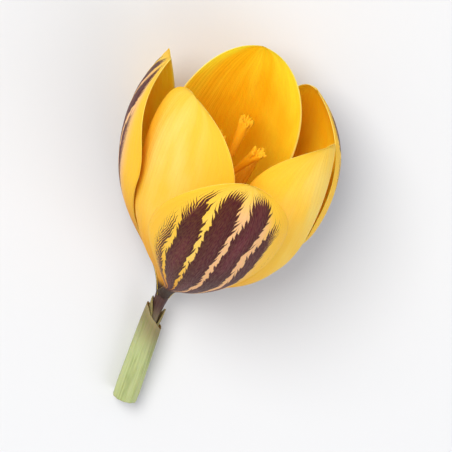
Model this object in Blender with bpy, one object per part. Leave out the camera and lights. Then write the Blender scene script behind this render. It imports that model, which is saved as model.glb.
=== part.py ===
"""A picked crocus flower, lying on its side: six petals (tepals), tube, stamens, style, bracts and sheath.

The flower is built upright about its own axis, with the throat at the origin, +Z towards the petal tips
and -Y towards the front outer petal. An empty then lays it down, so that it rests on its two lower outer
petals and on the cut end of its stem. Sizes are in millimetres until a mesh is made.
"""

import math
from dataclasses import dataclass

import bpy
import numpy as np
from mathutils import Vector

MM = 0.001

# How the flower lies, so that both lower outer petals and the stem's cut end touch the surface:
# the angle of its axis above the surface, and its roll
LEAN_DEG = 25.06
ROLL_DEG = -2.15

# Petals
TEPAL_THICKNESS = 0.36
TEPAL_ROWS = 15
TEPAL_COLUMNS = 8
MIDLINE_STEPS = 240
BASE_RISE = 0.05  # share of the length over which a petal turns from the tube's direction into its flare
LEVEL_SOFTNESS = 0.01
CURL_SETTLES = 0.55  # share of the length at which the cross-section reaches its full radius
HOOD_SHARPNESS = 1.6

# Stem: the tube runs from the throat down to the cut, bending towards the front
STEM_LENGTH = 20.0
STEM_BEND_DEG = 19.0
STEM_BEND_OVER = 9.0
STEM_DRIFT_DEG = 2.2
STEM_STEPS = 200

TUBE_RADIUS = 0.8
TUBE_BORE = 0.5
THROAT_RADIUS = 2.6
THROAT_BORE = 1.2
THROAT_GAP = 0.45
FUNNEL_LENGTH = 3.4
TUBE_SIDES = 20
TUBE_RINGS = 9  # rings along the tube, and as many again in its funnel

SHEATH_BASE_RADIUS = 1.8
SHEATH_TOP_RADIUS = 1.66
SHEATH_BORE = 1.42
SHEATH_LOW_SIDE = 8.2
SHEATH_HIGH_SIDE = 4.9
SHEATH_ROWS = 9

BRACT_RADIUS = 1.1
BRACT_THICKNESS = 0.2
BRACT_ROWS = 12
BRACT_COLUMNS = 8
BRACT_NARROWS = 0.6  # share of the length from which a bract narrows
BRACT_LIFTS = 0.8  # share of the length from which a bract stands off the tube

# Stamens: heights are above the throat
STAMEN_AZIMUTHS = {"stamen_front": -8.0, "stamen_right": 118.0, "stamen_left": -112.0}
STAMEN_FOOT = -0.6
STAMEN_JOINT = 13.0  # where the filament meets the anther
STAMEN_TOP = 27.0
STAMEN_RING = 0.8
STAMEN_LEAN = 3.8
STAMEN_RINGS = 22
STAMEN_SIDES = 12
FILAMENT_RADIUS = 0.28
ANTHER_RADIUS = 0.85
ANTHER_SQUASH = 0.75
ANTHER_TIP_RADIUS = 0.16

# Style: heights are above the throat
STYLE_RADIUS = 0.24
STYLE_SIDES = 10
STYLE_FORK = 19.0
STYLE_HEIGHTS = (0.0, 6.0, 12.0, STYLE_FORK)
BRANCH_AZIMUTHS = (52.0, 172.0, 292.0)
BRANCH_OVERLAP = 0.8
BRANCH_RISE = 11.5
BRANCH_LEAN = 3.6
BRANCH_FLARE = 0.75
BRANCH_RINGS = 9


@dataclass(frozen=True)
class Tepal:
    """One petal. Angles are in degrees, and azimuth runs from the front petal's side towards +X.

    Skew is the share by which the left half is wider than the right, and tip_flatness is how much flatter
    the cross-section is at the tip than in the blade.
    """

    name: str
    azimuth: float
    length: float
    half_width: float
    ring: float
    flare: float
    opening: float
    level: float
    bow: float
    hood: float
    curl: float
    sway_base: float
    sway_tip: float
    twist: float
    claw: float
    claw_curl: float
    widest: float
    widening: float
    tip_fall: float
    tip_round: float
    colour: tuple
    skew: float = 0.0
    tip_flatness: float = 0.3


PALE_YELLOW = (0.96, 0.74, 0.19)
STRIPED_YELLOW = (0.62, 0.36, 0.16)
DEEP_YELLOW = (0.98, 0.55, 0.03)
TUBE_PURPLE = (0.16, 0.09, 0.12)
SHEATH_CREAM = (0.52, 0.53, 0.28)
PAPERY_TAN = (0.36, 0.30, 0.15)
POLLEN_YELLOW = (0.95, 0.60, 0.06)
STIGMA_ORANGE = (0.93, 0.33, 0.02)

TEPALS = (
    Tepal(
        name="outer_tepal_front", azimuth=-8.0, length=40.8, half_width=10.8, ring=2.4,
        flare=48.5, opening=13.2, level=0.62, bow=1.06, hood=31.0, curl=11.2,
        sway_base=9.8, sway_tip=-1.5, twist=-17.8, claw=0.85, claw_curl=2.4,
        widest=0.59, widening=1.97, tip_fall=2.2, tip_round=1.8, colour=STRIPED_YELLOW,
    ),
    Tepal(
        name="outer_tepal_left", azimuth=-111.8, length=42.0, half_width=10.2, ring=2.4,
        flare=75.1, opening=-4.4, level=0.63, bow=0.80, hood=27.7, curl=9.5,
        sway_base=-6.3, sway_tip=8.5, twist=-15.3, claw=0.85, claw_curl=2.4,
        widest=0.58, widening=1.74, tip_fall=2.0, tip_round=1.15, colour=STRIPED_YELLOW,
    ),
    Tepal(
        name="outer_tepal_right", azimuth=118.4, length=41.7, half_width=11.7, ring=2.4,
        flare=84.0, opening=-1.7, level=0.60, bow=0.80, hood=46.0, curl=9.9,
        sway_base=-1.8, sway_tip=14.0, twist=-7.6, claw=0.85, claw_curl=2.4,
        widest=0.62, widening=1.55, tip_fall=2.2, tip_round=1.8, colour=STRIPED_YELLOW,
    ),
    Tepal(
        name="inner_tepal_left", azimuth=-47.9, length=38.6, half_width=9.6, ring=1.5,
        flare=51.2, opening=3.0, level=0.47, bow=0.84, hood=16.9, curl=13.8,
        sway_base=-6.1, sway_tip=-6.0, twist=9.5, claw=0.80, claw_curl=1.8,
        widest=0.66, widening=1.24, tip_fall=3.0, tip_round=2.6, colour=PALE_YELLOW,
        skew=-0.35, tip_flatness=1.6,
    ),
    Tepal(
        name="inner_tepal_right", azimuth=56.7, length=39.9, half_width=11.7, ring=1.5,
        flare=82.1, opening=-7.6, level=0.56, bow=0.67, hood=18.5, curl=7.7,
        sway_base=3.9, sway_tip=9.7, twist=0.9, claw=0.80, claw_curl=1.8,
        widest=0.60, widening=1.15, tip_fall=2.6, tip_round=2.2, colour=PALE_YELLOW,
        skew=0.05, tip_flatness=-0.2,
    ),
    Tepal(
        name="inner_tepal_back", azimuth=177.4, length=40.2, half_width=11.0, ring=1.5,
        flare=52.9, opening=0.2, level=0.54, bow=0.89, hood=4.1, curl=12.0,
        sway_base=1.4, sway_tip=1.2, twist=-4.1, claw=0.80, claw_curl=1.8,
        widest=0.54, widening=1.25, tip_fall=2.2, tip_round=1.8, colour=DEEP_YELLOW,
    ),
)


def tepal_midline(tepal):
    """The petal's midline: share of length, tilt from the axis, sideways angle, path out, aside and up."""
    share = np.linspace(0.0, 1.0, MIDLINE_STEPS)
    rise = 1.0 - np.exp(-share / BASE_RISE)
    below = 1.0 - share / tepal.level
    below = ((below + np.sqrt(below * below + LEVEL_SOFTNESS)) / 2.0) ** tepal.bow
    above = np.clip((share - tepal.level) / (1.0 - tepal.level), 0.0, 1.0) ** HOOD_SHARPNESS
    tilt = np.radians(tepal.opening + rise * tepal.flare * below - tepal.hood * above)
    aside = np.radians(tepal.sway_tip * share + tepal.sway_base * (1.0 - share))
    step = tepal.length / (MIDLINE_STEPS - 1)

    def path(slope):
        return np.concatenate([[0.0], np.cumsum((slope[1:] + slope[:-1]) / 2.0) * step])

    out = tepal.ring + path(np.cos(aside) * np.sin(tilt))
    return share, tilt, aside, out, path(np.sin(aside)), path(np.cos(aside) * np.cos(tilt))


def tepal_half_width(tepal, u):
    """Half the petal's width at share u of its length: a narrow claw, a broad blade and a rounded tip."""
    if u < tepal.widest:
        swell = math.sin(u / tepal.widest * math.pi / 2.0) ** tepal.widening
        return tepal.claw + (tepal.half_width - tepal.claw) * swell
    v = min((u - tepal.widest) / (1.0 - tepal.widest), 1.0)
    return tepal.half_width * (1.0 - v ** tepal.tip_fall) ** (1.0 / tepal.tip_round)


def tepal_curl_radius(tepal, u):
    """Radius of the petal's cross-section at share u: tight at the claw and wide in the blade."""
    blend = min(u / CURL_SETTLES, 1.0)
    blend = blend * blend * (3.0 - 2.0 * blend)
    flatter = 1.0 + tepal.tip_flatness * max(u - CURL_SETTLES, 0.0) / (1.0 - CURL_SETTLES)
    return (tepal.claw_curl + (tepal.curl - tepal.claw_curl) * blend) * flatter


def tepal_rows(tepal):
    """Shares of the length for the mesh rows, closer together towards the rounded tip."""
    low = round(TEPAL_ROWS * 0.5)
    rows = [tepal.widest * i / low for i in range(low)]
    high = TEPAL_ROWS - low
    rows += [tepal.widest + (1.0 - tepal.widest) * math.sin(math.pi / 2.0 * i / high) for i in range(high)]
    return rows


def tepal_point(tepal, midline, u, across):
    """A point on the petal's middle surface, for across from -1 to 1 over its width."""
    share = midline[0]
    tilt, aside, out, side, up = (np.interp(u, share, values) for values in midline[1:])
    radius = tepal_curl_radius(tepal, u)
    turn = across * (1.0 - tepal.skew * across) * tepal_half_width(tepal, u) / radius
    cross = Vector((-math.sin(aside) * math.sin(tilt), math.cos(aside), -math.sin(aside) * math.cos(tilt)))
    normal = Vector((math.cos(tilt), 0.0, -math.sin(tilt)))
    twist = math.radians(tepal.twist) * u
    cross, normal = (
        cross * math.cos(twist) + normal * math.sin(twist),
        normal * math.cos(twist) - cross * math.sin(twist),
    )
    local = Vector((out, side, up))
    local += cross * (radius * math.sin(turn)) - normal * (radius * (1.0 - math.cos(turn)))
    azimuth = math.radians(tepal.azimuth)
    outward = Vector((math.sin(azimuth), -math.cos(azimuth), 0.0))
    sideways = Vector((math.cos(azimuth), math.sin(azimuth), 0.0))
    return outward * local.x + sideways * local.y + Vector((0.0, 0.0, local.z))


def stem_point(distance):
    """Point and direction of the stem's middle line at a distance below the throat, above it if negative."""
    if distance <= 0.0:
        return Vector((0.0, 0.0, -distance)), Vector((0.0, 0.0, -1.0))
    step = distance / STEM_STEPS
    point = Vector((0.0, 0.0, 0.0))
    direction = Vector((0.0, 0.0, -1.0))
    for i in range(STEM_STEPS):
        reached = min((i + 0.5) * step / STEM_BEND_OVER, 1.0)
        bend = math.radians(STEM_BEND_DEG) * reached * reached * (3.0 - 2.0 * reached)
        drift = math.radians(STEM_DRIFT_DEG) * reached
        direction = Vector((math.sin(drift), -math.sin(bend), -math.cos(bend) * math.cos(drift))).normalized()
        point += direction * step
    return point, direction


def make_object(name, vertices, faces, colour, roughness, parent):
    """Make a smooth-shaded mesh object from points in millimetres, with a material of its own."""
    mesh = bpy.data.meshes.new(name)
    mesh.from_pydata([tuple(Vector(point) * MM) for point in vertices], [], faces)
    mesh.validate()
    mesh.update()
    mesh.shade_smooth()
    material = bpy.data.materials.new(name)
    material.use_nodes = True
    shader = material.node_tree.nodes["Principled BSDF"]
    shader.inputs["Base Color"].default_value = (*colour, 1.0)
    shader.inputs["Roughness"].default_value = roughness
    shader.inputs["Metallic"].default_value = 0.0
    mesh.materials.append(material)
    piece = bpy.data.objects.new(name, mesh)
    bpy.context.scene.collection.objects.link(piece)
    piece.parent = parent
    return piece


def solidify(piece, thickness):
    """Give a one-sided petal or bract its thickness, half to each side."""
    modifier = piece.modifiers.new("thickness", "SOLIDIFY")
    modifier.thickness = thickness * MM
    modifier.offset = 0.0
    modifier.use_rim = True


def make_tepal(tepal, parent):
    """Build one petal as a thin shell: rows of points from the claw up, closed by one point at the tip."""
    midline = tepal_midline(tepal)
    columns = TEPAL_COLUMNS + 1
    vertices = []
    for u in tepal_rows(tepal):
        vertices += [tepal_point(tepal, midline, u, -1.0 + 2.0 * j / TEPAL_COLUMNS) for j in range(columns)]
    tip = len(vertices)
    vertices.append(tepal_point(tepal, midline, 1.0, 0.0))
    faces = []
    for i in range(TEPAL_ROWS - 1):
        for j in range(TEPAL_COLUMNS):
            corner = i * columns + j
            faces.append((corner, corner + 1, corner + columns + 1, corner + columns))
    last = (TEPAL_ROWS - 1) * columns
    faces += [(last + j, last + j + 1, tip) for j in range(TEPAL_COLUMNS)]
    piece = make_object(tepal.name, vertices, faces, tepal.colour, 0.5, parent)
    solidify(piece, TEPAL_THICKNESS)
    return piece


def ring_frame(direction):
    """Two directions square to a path's direction: one to the flower's side, one to its front."""
    side = Vector((1.0, 0.0, 0.0))
    side = (side - direction * side.dot(direction)).normalized()
    return side, direction.cross(side)


def ring_points(centre, direction, radius, sides):
    """A ring of points round a path point, square to the path."""
    side, front = ring_frame(direction)
    points = []
    for k in range(sides):
        angle = 2.0 * math.pi * k / sides
        points.append(centre + side * (radius * math.cos(angle)) + front * (radius * math.sin(angle)))
    return points


def bridge_rings(count, sides, closed=False):
    """Faces between successive rings of a sweep; a closed sweep joins its last ring to its first."""
    faces = []
    for i in range(count if closed else count - 1):
        for k in range(sides):
            a, b = i * sides + k, i * sides + (k + 1) % sides
            c, d = (b + sides) % (count * sides), (a + sides) % (count * sides)
            faces.append((a, d, c, b))
    return faces


def rod_mesh(rings):
    """Vertices and faces of a solid rod through the given rings, with its ends filled."""
    sides = len(rings[0])
    vertices = [point for ring in rings for point in ring]
    faces = bridge_rings(len(rings), sides)
    faces.append(tuple(range(sides)))
    faces.append(tuple(reversed(range(len(vertices) - sides, len(vertices)))))
    return vertices, faces


def make_tube(parent):
    """The perianth tube: a fine pipe that opens into a funnel under the petals."""
    steps = range(TUBE_RINGS)
    stations = [STEM_LENGTH + (FUNNEL_LENGTH - STEM_LENGTH) * i / TUBE_RINGS for i in steps]
    stations += [FUNNEL_LENGTH + (THROAT_GAP - FUNNEL_LENGTH) * i / (TUBE_RINGS - 1) for i in steps]
    outer, inner = [], []
    for distance in stations:
        flare = max(FUNNEL_LENGTH - distance, 0.0) / (FUNNEL_LENGTH - THROAT_GAP)
        flare = flare * flare * (3.0 - 2.0 * flare)
        point, direction = stem_point(distance)
        outer_radius = TUBE_RADIUS + (THROAT_RADIUS - TUBE_RADIUS) * flare
        inner_radius = TUBE_BORE + (THROAT_BORE - TUBE_BORE) * flare
        outer.append(ring_points(point, direction, outer_radius, TUBE_SIDES))
        inner.append(ring_points(point, direction, inner_radius, TUBE_SIDES))
    rings = outer + inner[::-1]
    vertices = [point for ring in rings for point in ring]
    faces = bridge_rings(len(rings), TUBE_SIDES, closed=True)
    return make_object("perianth_tube", vertices, faces, TUBE_PURPLE, 0.5, parent)


def make_sheath(parent):
    """The pale sheath leaf: a pipe round the lower stem with a slanted mouth, high on the left side."""
    outer, inner = [], []
    for i in range(SHEATH_ROWS):
        share = i / (SHEATH_ROWS - 1)
        outer_ring, inner_ring = [], []
        for k in range(TUBE_SIDES):
            angle = 2.0 * math.pi * k / TUBE_SIDES
            mouth = (SHEATH_LOW_SIDE + SHEATH_HIGH_SIDE) / 2.0
            mouth += (SHEATH_LOW_SIDE - SHEATH_HIGH_SIDE) / 2.0 * math.cos(angle)
            distance = STEM_LENGTH + (mouth - STEM_LENGTH) * share
            point, direction = stem_point(distance)
            side, front = ring_frame(direction)
            radial = side * math.cos(angle) + front * math.sin(angle)
            radius = SHEATH_BASE_RADIUS + (SHEATH_TOP_RADIUS - SHEATH_BASE_RADIUS) * share
            outer_ring.append(point + radial * radius)
            inner_ring.append(point + radial * SHEATH_BORE)
        outer.append(outer_ring)
        inner.append(inner_ring)
    rings = outer + inner[::-1]
    vertices = [point for ring in rings for point in ring]
    faces = bridge_rings(len(rings), TUBE_SIDES, closed=True)
    return make_object("sheath", vertices, faces, SHEATH_CREAM, 0.55, parent)


def make_bract(name, middle_deg, half_span_deg, top, lift, parent):
    """A papery bract: it hugs the tube inside the sheath, then narrows to a free tip beside the throat."""
    vertices = []
    for i in range(BRACT_ROWS):
        share = i / BRACT_ROWS
        distance = STEM_LENGTH + (top - STEM_LENGTH) * share
        point, direction = stem_point(distance)
        side, front = ring_frame(direction)
        narrowing = max(share - BRACT_NARROWS, 0.0) / (1.0 - BRACT_NARROWS)
        span = math.radians(half_span_deg) * math.sqrt(max(1.0 - narrowing ** 1.8, 0.0))
        radius = BRACT_RADIUS + lift * (max(share - BRACT_LIFTS, 0.0) / (1.0 - BRACT_LIFTS)) ** 1.5
        for j in range(BRACT_COLUMNS + 1):
            angle = math.radians(middle_deg) + span * (-1.0 + 2.0 * j / BRACT_COLUMNS)
            vertices.append(point + (side * math.cos(angle) + front * math.sin(angle)) * radius)
    tip = len(vertices)
    point, direction = stem_point(top)
    side, front = ring_frame(direction)
    middle = math.radians(middle_deg)
    vertices.append(point + (side * math.cos(middle) + front * math.sin(middle)) * (BRACT_RADIUS + lift))
    columns = BRACT_COLUMNS + 1
    faces = []
    for i in range(BRACT_ROWS - 1):
        for j in range(BRACT_COLUMNS):
            corner = i * columns + j
            faces.append((corner, corner + columns, corner + columns + 1, corner + 1))
    last = (BRACT_ROWS - 1) * columns
    faces += [(last + j, tip, last + j + 1) for j in range(BRACT_COLUMNS)]
    piece = make_object(name, vertices, faces, PAPERY_TAN, 0.7, parent)
    solidify(piece, BRACT_THICKNESS)
    return piece


def make_stamen(name, azimuth_deg, parent):
    """A stamen grown in one piece: a thin filament that swells into its long, flattened anther."""
    azimuth = math.radians(azimuth_deg)
    outward = Vector((math.sin(azimuth), -math.cos(azimuth), 0.0))
    sideways = Vector((math.cos(azimuth), math.sin(azimuth), 0.0))
    rings = []
    for i in range(STAMEN_RINGS):
        height = STAMEN_FOOT + (STAMEN_TOP - STAMEN_FOOT) * i / (STAMEN_RINGS - 1)
        body = max((height - STAMEN_JOINT) / (STAMEN_TOP - STAMEN_JOINT), 0.0)
        radius = FILAMENT_RADIUS
        if body > 0.0:
            swell = math.sin(math.pi * body ** 0.6) ** 0.7
            radius = FILAMENT_RADIUS * (1.0 - body) ** 0.5 + ANTHER_RADIUS * swell
        radius = max(radius, ANTHER_TIP_RADIUS)
        lean = STAMEN_RING + STAMEN_LEAN * (max(height, 0.0) / STAMEN_TOP) ** 1.4
        centre = outward * lean + Vector((0.0, 0.0, height))
        ring = []
        for k in range(STAMEN_SIDES):
            angle = 2.0 * math.pi * k / STAMEN_SIDES
            aside = sideways * (radius * math.cos(angle))
            ring.append(centre + aside + outward * (ANTHER_SQUASH * radius * math.sin(angle)))
        rings.append(ring)
    vertices, faces = rod_mesh(rings)
    return make_object(name, vertices, faces, POLLEN_YELLOW, 0.6, parent)


def make_style(parent):
    """The style, one rod from the cut through the tube, which divides into three trumpet-shaped branches."""
    steps = range(BRANCH_RINGS - 1)
    stations = [STEM_LENGTH * (1.0 - i / len(steps)) for i in steps] + [-height for height in STYLE_HEIGHTS]
    rings = []
    for distance in stations:
        point, direction = stem_point(distance)
        rings.append(ring_points(point, direction, STYLE_RADIUS, STYLE_SIDES))
    vertices, faces = rod_mesh(rings)
    style = make_object("style", vertices, faces, STIGMA_ORANGE, 0.5, parent)
    for index, azimuth_deg in enumerate(BRANCH_AZIMUTHS):
        azimuth = math.radians(azimuth_deg)
        outward = Vector((math.sin(azimuth), -math.cos(azimuth), 0.0))
        branch_rings = []
        for i in range(BRANCH_RINGS):
            share = i / (BRANCH_RINGS - 1)
            height = STYLE_FORK - BRANCH_OVERLAP + BRANCH_RISE * share
            centre = outward * (0.06 + BRANCH_LEAN * share ** 1.3) + Vector((0.0, 0.0, height))
            direction = (outward * (0.3 * share) + Vector((0.0, 0.0, 1.0))).normalized()
            radius = STYLE_RADIUS * 0.9 + BRANCH_FLARE * max(share - 0.35, 0.0) ** 1.2
            branch_rings.append(ring_points(centre, -direction, radius, STYLE_SIDES))
        vertices, faces = rod_mesh(branch_rings)
        branch = make_object("stigma_branch_" + str(index + 1), vertices, faces, STIGMA_ORANGE, 0.5, parent)
        branch.hide_render = True
        branch.display_type = "WIRE"
        union = style.modifiers.new("branch", "BOOLEAN")
        union.operation = "UNION"
        union.solver = "EXACT"
        union.object = branch
    return style


def bounds(pieces):
    """Lowest and highest corners of the pieces' evaluated meshes, in metres."""
    graph = bpy.context.evaluated_depsgraph_get()
    points = []
    for piece in pieces:
        mesh = piece.evaluated_get(graph).to_mesh()
        points += [piece.matrix_world @ vertex.co for vertex in mesh.vertices]
    low = Vector([min(point[axis] for point in points) for axis in range(3)])
    high = Vector([max(point[axis] for point in points) for axis in range(3)])
    return low, high


def main():
    """Clear the scene, build the flower about its own axis, and lay it down on the surface."""
    for old in list(bpy.data.objects):
        bpy.data.objects.remove(old, do_unlink=True)
    flower = bpy.data.objects.new("flower_axis", None)
    bpy.context.scene.collection.objects.link(flower)

    pieces = [make_tepal(tepal, flower) for tepal in TEPALS]
    pieces.append(make_tube(flower))
    pieces.append(make_sheath(flower))
    pieces.append(make_bract("bract", 178.0, 80.0, top=1.6, lift=1.3, parent=flower))
    pieces.append(make_bract("bracteole", 0.0, 62.0, top=4.4, lift=0.3, parent=flower))
    pieces += [make_stamen(name, azimuth, flower) for name, azimuth in STAMEN_AZIMUTHS.items()]
    pieces.append(make_style(flower))

    flower.rotation_euler = (math.radians(LEAN_DEG - 90.0), math.radians(ROLL_DEG), 0.0)
    bpy.context.view_layer.update()
    low, high = bounds(pieces)
    flower.location = (-(low.x + high.x) / 2.0, -(low.y + high.y) / 2.0, -low.z)


main()
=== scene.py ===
"""The looks of a picked crocus flower, lying on its side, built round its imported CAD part.

The flower is drawn upright about its own axis: the throat is the origin, +Z runs towards the petal tips
and -Y towards the front outer petal, in millimetres. Posture then lays every point down where the CAD
part lies. Each petal is a fine closed shell that follows the same curves as its CAD solid.
"""

import logging
import math
from collections.abc import Sequence
from dataclasses import dataclass, field
from enum import Enum
from typing import ClassVar

import bpy
import numpy as np
from mathutils import Matrix, Vector


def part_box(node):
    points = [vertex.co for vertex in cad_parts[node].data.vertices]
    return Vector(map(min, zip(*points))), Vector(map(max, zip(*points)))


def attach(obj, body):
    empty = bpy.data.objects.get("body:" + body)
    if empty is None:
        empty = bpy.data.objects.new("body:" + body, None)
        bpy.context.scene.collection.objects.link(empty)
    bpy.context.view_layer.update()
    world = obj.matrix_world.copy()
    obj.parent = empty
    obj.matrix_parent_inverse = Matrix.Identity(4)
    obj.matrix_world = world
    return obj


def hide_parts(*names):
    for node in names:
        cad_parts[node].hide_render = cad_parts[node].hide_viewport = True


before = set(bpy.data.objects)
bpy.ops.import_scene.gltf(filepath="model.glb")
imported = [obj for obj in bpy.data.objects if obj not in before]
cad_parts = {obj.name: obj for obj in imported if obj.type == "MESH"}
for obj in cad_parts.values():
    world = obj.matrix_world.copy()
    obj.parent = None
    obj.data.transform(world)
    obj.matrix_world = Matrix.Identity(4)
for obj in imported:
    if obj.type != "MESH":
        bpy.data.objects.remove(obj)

Array = np.ndarray
Colour = tuple[float, float, float]
Span = tuple[float, float]

LOG = logging.getLogger("crocus")
BODY = "root"
MM = 0.001
FULL_TURN = 2.0 * math.pi


# Small tools


def tint(red: int, green: int, blue: int) -> Colour:
    """A colour as a shader needs it, in linear light.

    Args:
        red: How red it looks on a screen, from 0 to 255.
        green: How green it looks.
        blue: How blue it looks.

    Returns:
        The three channels, from 0 to 1.
    """

    def light(level: int) -> float:
        """One channel in linear light."""
        share = level / 255.0
        return share / 12.92 if share <= 0.04045 else ((share + 0.055) / 1.055) ** 2.4

    return light(red), light(green), light(blue)


def ease(value: Array, low: float, high: float) -> Array:
    """A smooth step from 0 at low to 1 at high, where high may be below low."""
    share = np.clip((np.asarray(value, dtype=float) - low) / (high - low), 0.0, 1.0)
    return share * share * (3.0 - 2.0 * share)


def running_sum(slope: Array, step: float) -> Array:
    """The path that a slope traces, by the trapezium rule."""
    return np.concatenate([[0.0], np.cumsum((slope[1:] + slope[:-1]) / 2.0) * step])


def ring_grid(lengthwise: Array, sides: int) -> tuple[Array, Array]:
    """A grid of the given values along a piece by evenly spaced angles round it."""
    return tuple(np.meshgrid(lengthwise, FULL_TURN * np.arange(sides) / sides, indexing="ij"))


def facing(azimuth_deg: float) -> tuple[Array, Array]:
    """The directions at an azimuth round the flower's axis.

    Args:
        azimuth_deg: The azimuth.

    Returns:
        The directions outward and sideways.
    """
    azimuth = math.radians(azimuth_deg)
    outward = np.array([math.sin(azimuth), -math.cos(azimuth), 0.0])
    sideways = np.array([math.cos(azimuth), math.sin(azimuth), 0.0])
    return outward, sideways


class Wander:
    """A seeded field of gentle waves over a surface, between about -1 and 1."""

    def __init__(self, seed: int, waves: int = 5, pace: float = 5.0) -> None:
        """Draw the waves.

        Args:
            seed: Picks the waves; the same seed always gives the same field.
            waves: How many waves are added together.
            pace: The fastest wave's number of radians per unit of either direction.
        """
        chance = np.random.RandomState(seed)
        self.rates = chance.uniform(-pace, pace, (waves, 2))
        self.starts = chance.uniform(0.0, FULL_TURN, waves)
        self.weights = chance.uniform(0.5, 1.0, waves)

    def __call__(self, first: Array, second: Array) -> Array:
        """The field's height.

        Args:
            first: The places' first coordinates.
            second: Their second coordinates.

        Returns:
            The height there.
        """
        total = 0.0
        for (rate, other_rate), start, weight in zip(self.rates, self.starts, self.weights):
            total = total + weight * np.sin(rate * first + other_rate * second + start)
        return total / self.weights.sum()


# Where the flower lies, and the line of its stem


@dataclass
class StemLine:
    """The stem's middle line, by distance down from the throat; below 0 it goes up the flower's axis."""

    length: float = 20.0
    bend_deg: float = 19.0
    bend_over: float = 9.0
    drift_deg: float = 2.2
    steps: int = 800
    distances: Array = field(init=False, repr=False)
    points: Array = field(init=False, repr=False)
    directions: Array = field(init=False, repr=False)

    def __post_init__(self) -> None:
        """Trace the line once, in fine steps."""
        self.distances = np.linspace(0.0, self.length, self.steps + 1)
        reached = np.clip(self.distances / self.bend_over, 0.0, 1.0)
        bend = math.radians(self.bend_deg) * ease(reached, 0.0, 1.0)
        drift = math.radians(self.drift_deg) * reached
        ways = np.stack([np.sin(drift), -np.sin(bend), -np.cos(bend) * np.cos(drift)], axis=-1)
        self.directions = ways / np.linalg.norm(ways, axis=-1, keepdims=True)
        step = self.length / self.steps
        self.points = np.stack([running_sum(way, step) for way in self.directions.T], axis=-1)

    def at(self, distance: Array) -> tuple[Array, Array, Array]:
        """Read the line.

        Args:
            distance: How far down from the throat.

        Returns:
            The points, and the directions to the flower's side and front there.
        """
        below = np.clip(distance, 0.0, self.length)
        point = np.stack([np.interp(below, self.distances, self.points[:, k]) for k in range(3)], axis=-1)
        way = np.stack([np.interp(below, self.distances, self.directions[:, k]) for k in range(3)], axis=-1)
        point[..., 2] -= np.minimum(distance, 0.0)
        side = np.array([1.0, 0.0, 0.0]) - way * way[..., 0:1]
        side = side / np.linalg.norm(side, axis=-1, keepdims=True)
        return point, side, np.cross(way, side)

    def wall(self, distance: Array, angle: Array, radius: Array) -> Array:
        """Points of a skin round the stem.

        Args:
            distance: How far down from the throat each point is.
            angle: Its angle round the stem, from the flower's side towards its front.
            radius: How far it stands off the middle line.

        Returns:
            The points, with their three coordinates last.
        """
        point, side, front = self.at(distance)
        outward = side * np.cos(angle)[..., None] + front * np.sin(angle)[..., None]
        return point + outward * np.asarray(radius)[..., None]


@dataclass
class Posture:
    """How the upright flower lies down: its lean above the surface, its roll and its resting place."""

    lean_deg: float = 25.06
    roll_deg: float = -2.15
    sheath_rows: int = 9
    sheath_sides: int = 20
    sheath_radii: tuple[float, float] = (1.8, 1.66)
    sheath_mouth: tuple[float, float] = (6.55, 1.65)
    turn: Matrix = field(init=False, repr=False)
    shift: Vector = field(init=False, repr=False)

    def __post_init__(self) -> None:
        """Turn the CAD sheath's own corners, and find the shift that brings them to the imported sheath."""
        roll = Matrix.Rotation(math.radians(self.roll_deg), 3, "Y")
        self.turn = roll @ Matrix.Rotation(math.radians(self.lean_deg - 90.0), 3, "X")
        stem = StemLine()
        share, angle = ring_grid(np.arange(self.sheath_rows) / (self.sheath_rows - 1), self.sheath_sides)
        middle, swing = self.sheath_mouth
        distance = stem.length + (middle + swing * np.cos(angle) - stem.length) * share
        low_radius, high_radius = self.sheath_radii
        corners = stem.wall(distance, angle, low_radius + (high_radius - low_radius) * share)
        turned = corners.reshape(-1, 3) @ np.array(self.turn).T
        self.shift = Vector(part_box("sheath")[0]) - Vector(turned.min(axis=0)) * MM

    def place(self, points: Array) -> Array:
        """Points in millimetres about the flower's axis, laid down in metres where the CAD part lies."""
        return np.asarray(points) @ np.array(self.turn).T * MM + np.array(self.shift)


# Meshes


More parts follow.
